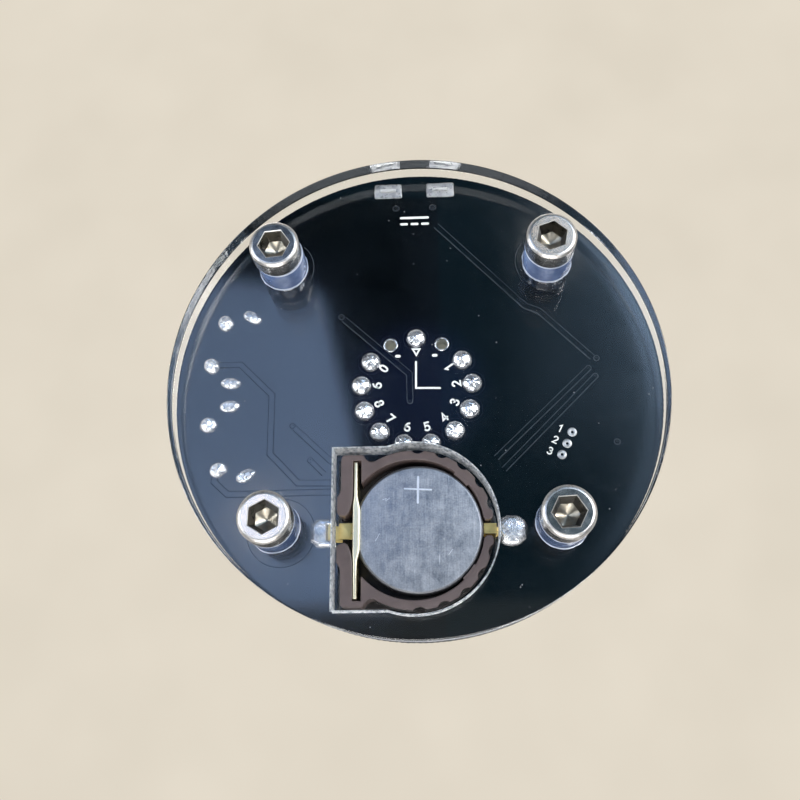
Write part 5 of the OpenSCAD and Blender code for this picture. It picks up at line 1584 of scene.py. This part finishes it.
def window(x, y):
    right_ = line_side(x, y, 0.098, 0.300, 0.036, 0.028)
    top_ = line_side(x, y, 0.40, 0.335, 0.098, 0.288)
    low_ = y - 0.028
    edge = ramp01((right_ + 0.005) / 0.018) * ramp01((top_ + 0.010) / 0.024) * ramp01((low_ + 0.010) / 0.022)
    return 1.46 * edge * (0.88 + 0.26 * math.exp(-max(0.0, right_) / 0.06)) * (1.18 - 0.18 * ramp01((y - 0.05) / 0.15)) + 0.040 * ramp01((0.04 - x) / 0.04)


def sheen(x, y):
    # faint over the board, bright from the board's rim outwards
    r = math.hypot((x + 0.0029) * 0.1292 - 0.0029, (y + 0.0291) * 0.1292 - 0.0291)
    faint = 0.175 * ramp01((-0.035 - x) / 0.075) * ramp01((y - 0.11) / 0.09) + 0.11 * ramp01((-0.11 - x) / 0.05)
    rim = 1.95 * ramp01((-0.080 - x) / 0.11) * (0.30 + 0.70 * ramp01((y - 0.15) / 0.12)) * ramp01((r - 0.0226) / 0.0017)
    return (faint + rim) * ramp01((0.62 + x) / 0.15)


# window seen as the grey sheen on the left of the disc, and a weaker one along the right
soft_panel("stage_window", window, -0.6, 0.0, 0.46, 0.0, 0.37, (0.44, 0.625, 1.0))
soft_panel("stage_sheen", sheen, -0.6, -0.62, -0.03, -0.10, 0.62, (0.50, 0.71, 1.0), 120, 120, True)


def spot(x, y):
    return 6.2 * ramp01((0.021 - math.hypot(x - 0.137, y - 0.0955)) / 0.008)


def spot_far(x, y):
    return 4.2 * ramp01((0.021 - math.hypot(x + 0.0936, y - 0.3238)) / 0.008)


def low_glow(x, y):
    return 0.10 * ramp01((0.038 - y) / 0.012) * ramp01((x + 0.24) / 0.06) * ramp01((0.20 - x) / 0.06) * ramp01((y + 0.10) / 0.04)


def blue_glow(x, y):
    return 0.145 * ramp01((0.066 - math.hypot(x - 0.020, y - 0.197)) / 0.030)


def ceiling(x, y):
    return 0.85 * ramp01((-0.12 - y) / 0.10) * ramp01((y + 0.56) / 0.12) * ramp01((x + 0.42) / 0.14) * ramp01((0.42 - x) / 0.14)


# lamps caught by two screws, faint light in the middle and along the front, and a pale ceiling that only the round parts catch
soft_panel("stage_ceiling", ceiling, -0.6, -0.42, 0.42, -0.56, -0.12, (0.88, 0.94, 1.0), 40, 30)
soft_panel("stage_lamp", spot, -0.595, 0.112, 0.162, 0.0705, 0.1205, (1.0, 0.86, 0.66), 30, 30, True)
soft_panel("stage_lamp_far", spot_far, -0.595, -0.1186, -0.0686, 0.2988, 0.3488, (1.0, 0.93, 0.85), 30, 30, True)
soft_panel("stage_blue", blue_glow, -0.597, -0.05, 0.09, 0.127, 0.267, (0.18, 0.30, 1.0), 30, 30, True)
soft_panel("stage_low", low_glow, -0.59, -0.24, 0.20, -0.10, 0.06, (1.0, 1.0, 0.88), 40, 40, True)


def area(name, loc, target, size, power, colour=(1, 1, 1)):
    d = bpy.data.lights.new(name, "AREA")
    d.shape = "RECTANGLE"
    d.size, d.size_y = size
    d.energy = power
    d.color = colour
    ob = bpy.data.objects.new(name, d)
    scene.collection.objects.link(ob)
    ob.location = loc
    ob.rotation_mode = "QUATERNION"
    ob.rotation_quaternion = (Vector(target) - Vector(loc)).to_track_quat("-Z", "Y")
    return ob


area("under_right", (-0.42, 0.12, -0.45), (0, 0, 0), (0.30, 0.40), 2.6, (1.0, 0.99, 0.97))
area("under_front", (0.05, -0.55, -0.45), (0, 0, 0), (0.55, 0.35), 3.2, (1.0, 0.98, 0.95))
area("under_left", (0.62, 0.05, -0.42), (0, 0, 0), (0.30, 0.45), 2.2, (0.92, 0.96, 1.0))
area("over_key", (-0.35, -0.45, 0.62), (0, 0, 0.03), (0.35, 0.35), 2.9, (1.0, 0.98, 0.96))
area("over_fill", (0.55, -0.20, 0.45), (0, 0, 0.03), (0.40, 0.40), 1.2, (0.95, 0.98, 1.0))
area("over_back", (0.10, 0.60, 0.55), (0, 0, 0.03), (0.50, 0.30), 1.7)

world = bpy.data.worlds.new("studio")
scene.world = world
world.use_nodes = True
wn = world.node_tree
wn.nodes.clear()
wo = wn.nodes.new("ShaderNodeOutputWorld")
bg = wn.nodes.new("ShaderNodeBackground")
tc = wn.nodes.new("ShaderNodeTexCoord")
sx = wn.nodes.new("ShaderNodeSeparateXYZ")
mr = wn.nodes.new("ShaderNodeMapRange")
cr = wn.nodes.new("ShaderNodeValToRGB")
mr.inputs["From Min"].default_value = -1.0
mr.inputs["From Max"].default_value = 1.0
wn.links.new(tc.outputs["Generated"], sx.inputs[0])
wn.links.new(sx.outputs["Z"], mr.inputs["Value"])
wn.links.new(mr.outputs["Result"], cr.inputs["Fac"])
cr.color_ramp.elements[0].position = 0.10
cr.color_ramp.elements[0].color = (0.014, 0.052, 0.082, 1)
cr.color_ramp.elements[1].position = 0.90
cr.color_ramp.elements[1].color = (0.42, 0.43, 0.45, 1)
for pos, col in ((0.38, (0.10, 0.11, 0.13, 1)), (0.52, (0.42, 0.42, 0.41, 1))):
    e = cr.color_ramp.elements.new(pos)
    e.color = col
wn.links.new(cr.outputs["Color"], bg.inputs["Color"])
bg.inputs["Strength"].default_value = 0.8
wn.links.new(bg.outputs[0], wo.inputs["Surface"])

# ------------------------------------------------------------------ camera at the photograph's place
cd = bpy.data.cameras.new("photo_view")
cam = bpy.data.objects.new("photo_view", cd)
scene.collection.objects.link(cam)
cd.sensor_width = 36.0
cd.lens = 916.24 / 800 * 36.0
cd.clip_start = 0.002
cd.clip_end = 20.0
right = Vector((-0.998534, -0.007000, 0.053669))
up = Vector((-0.022775, 0.953881, -0.299318))
bk = Vector((-0.049099, -0.300102, -0.952643))
loc = Vector((-0.002883, -0.029115, -0.080393))
cam.matrix_world = Matrix(((right.x, up.x, bk.x, loc.x), (right.y, up.y, bk.y, loc.y), (right.z, up.z, bk.z, loc.z), (0, 0, 0, 1)))
scene.camera = cam
scene.view_settings.view_transform = "Standard"
scene.cycles.transparent_max_bounces = 24
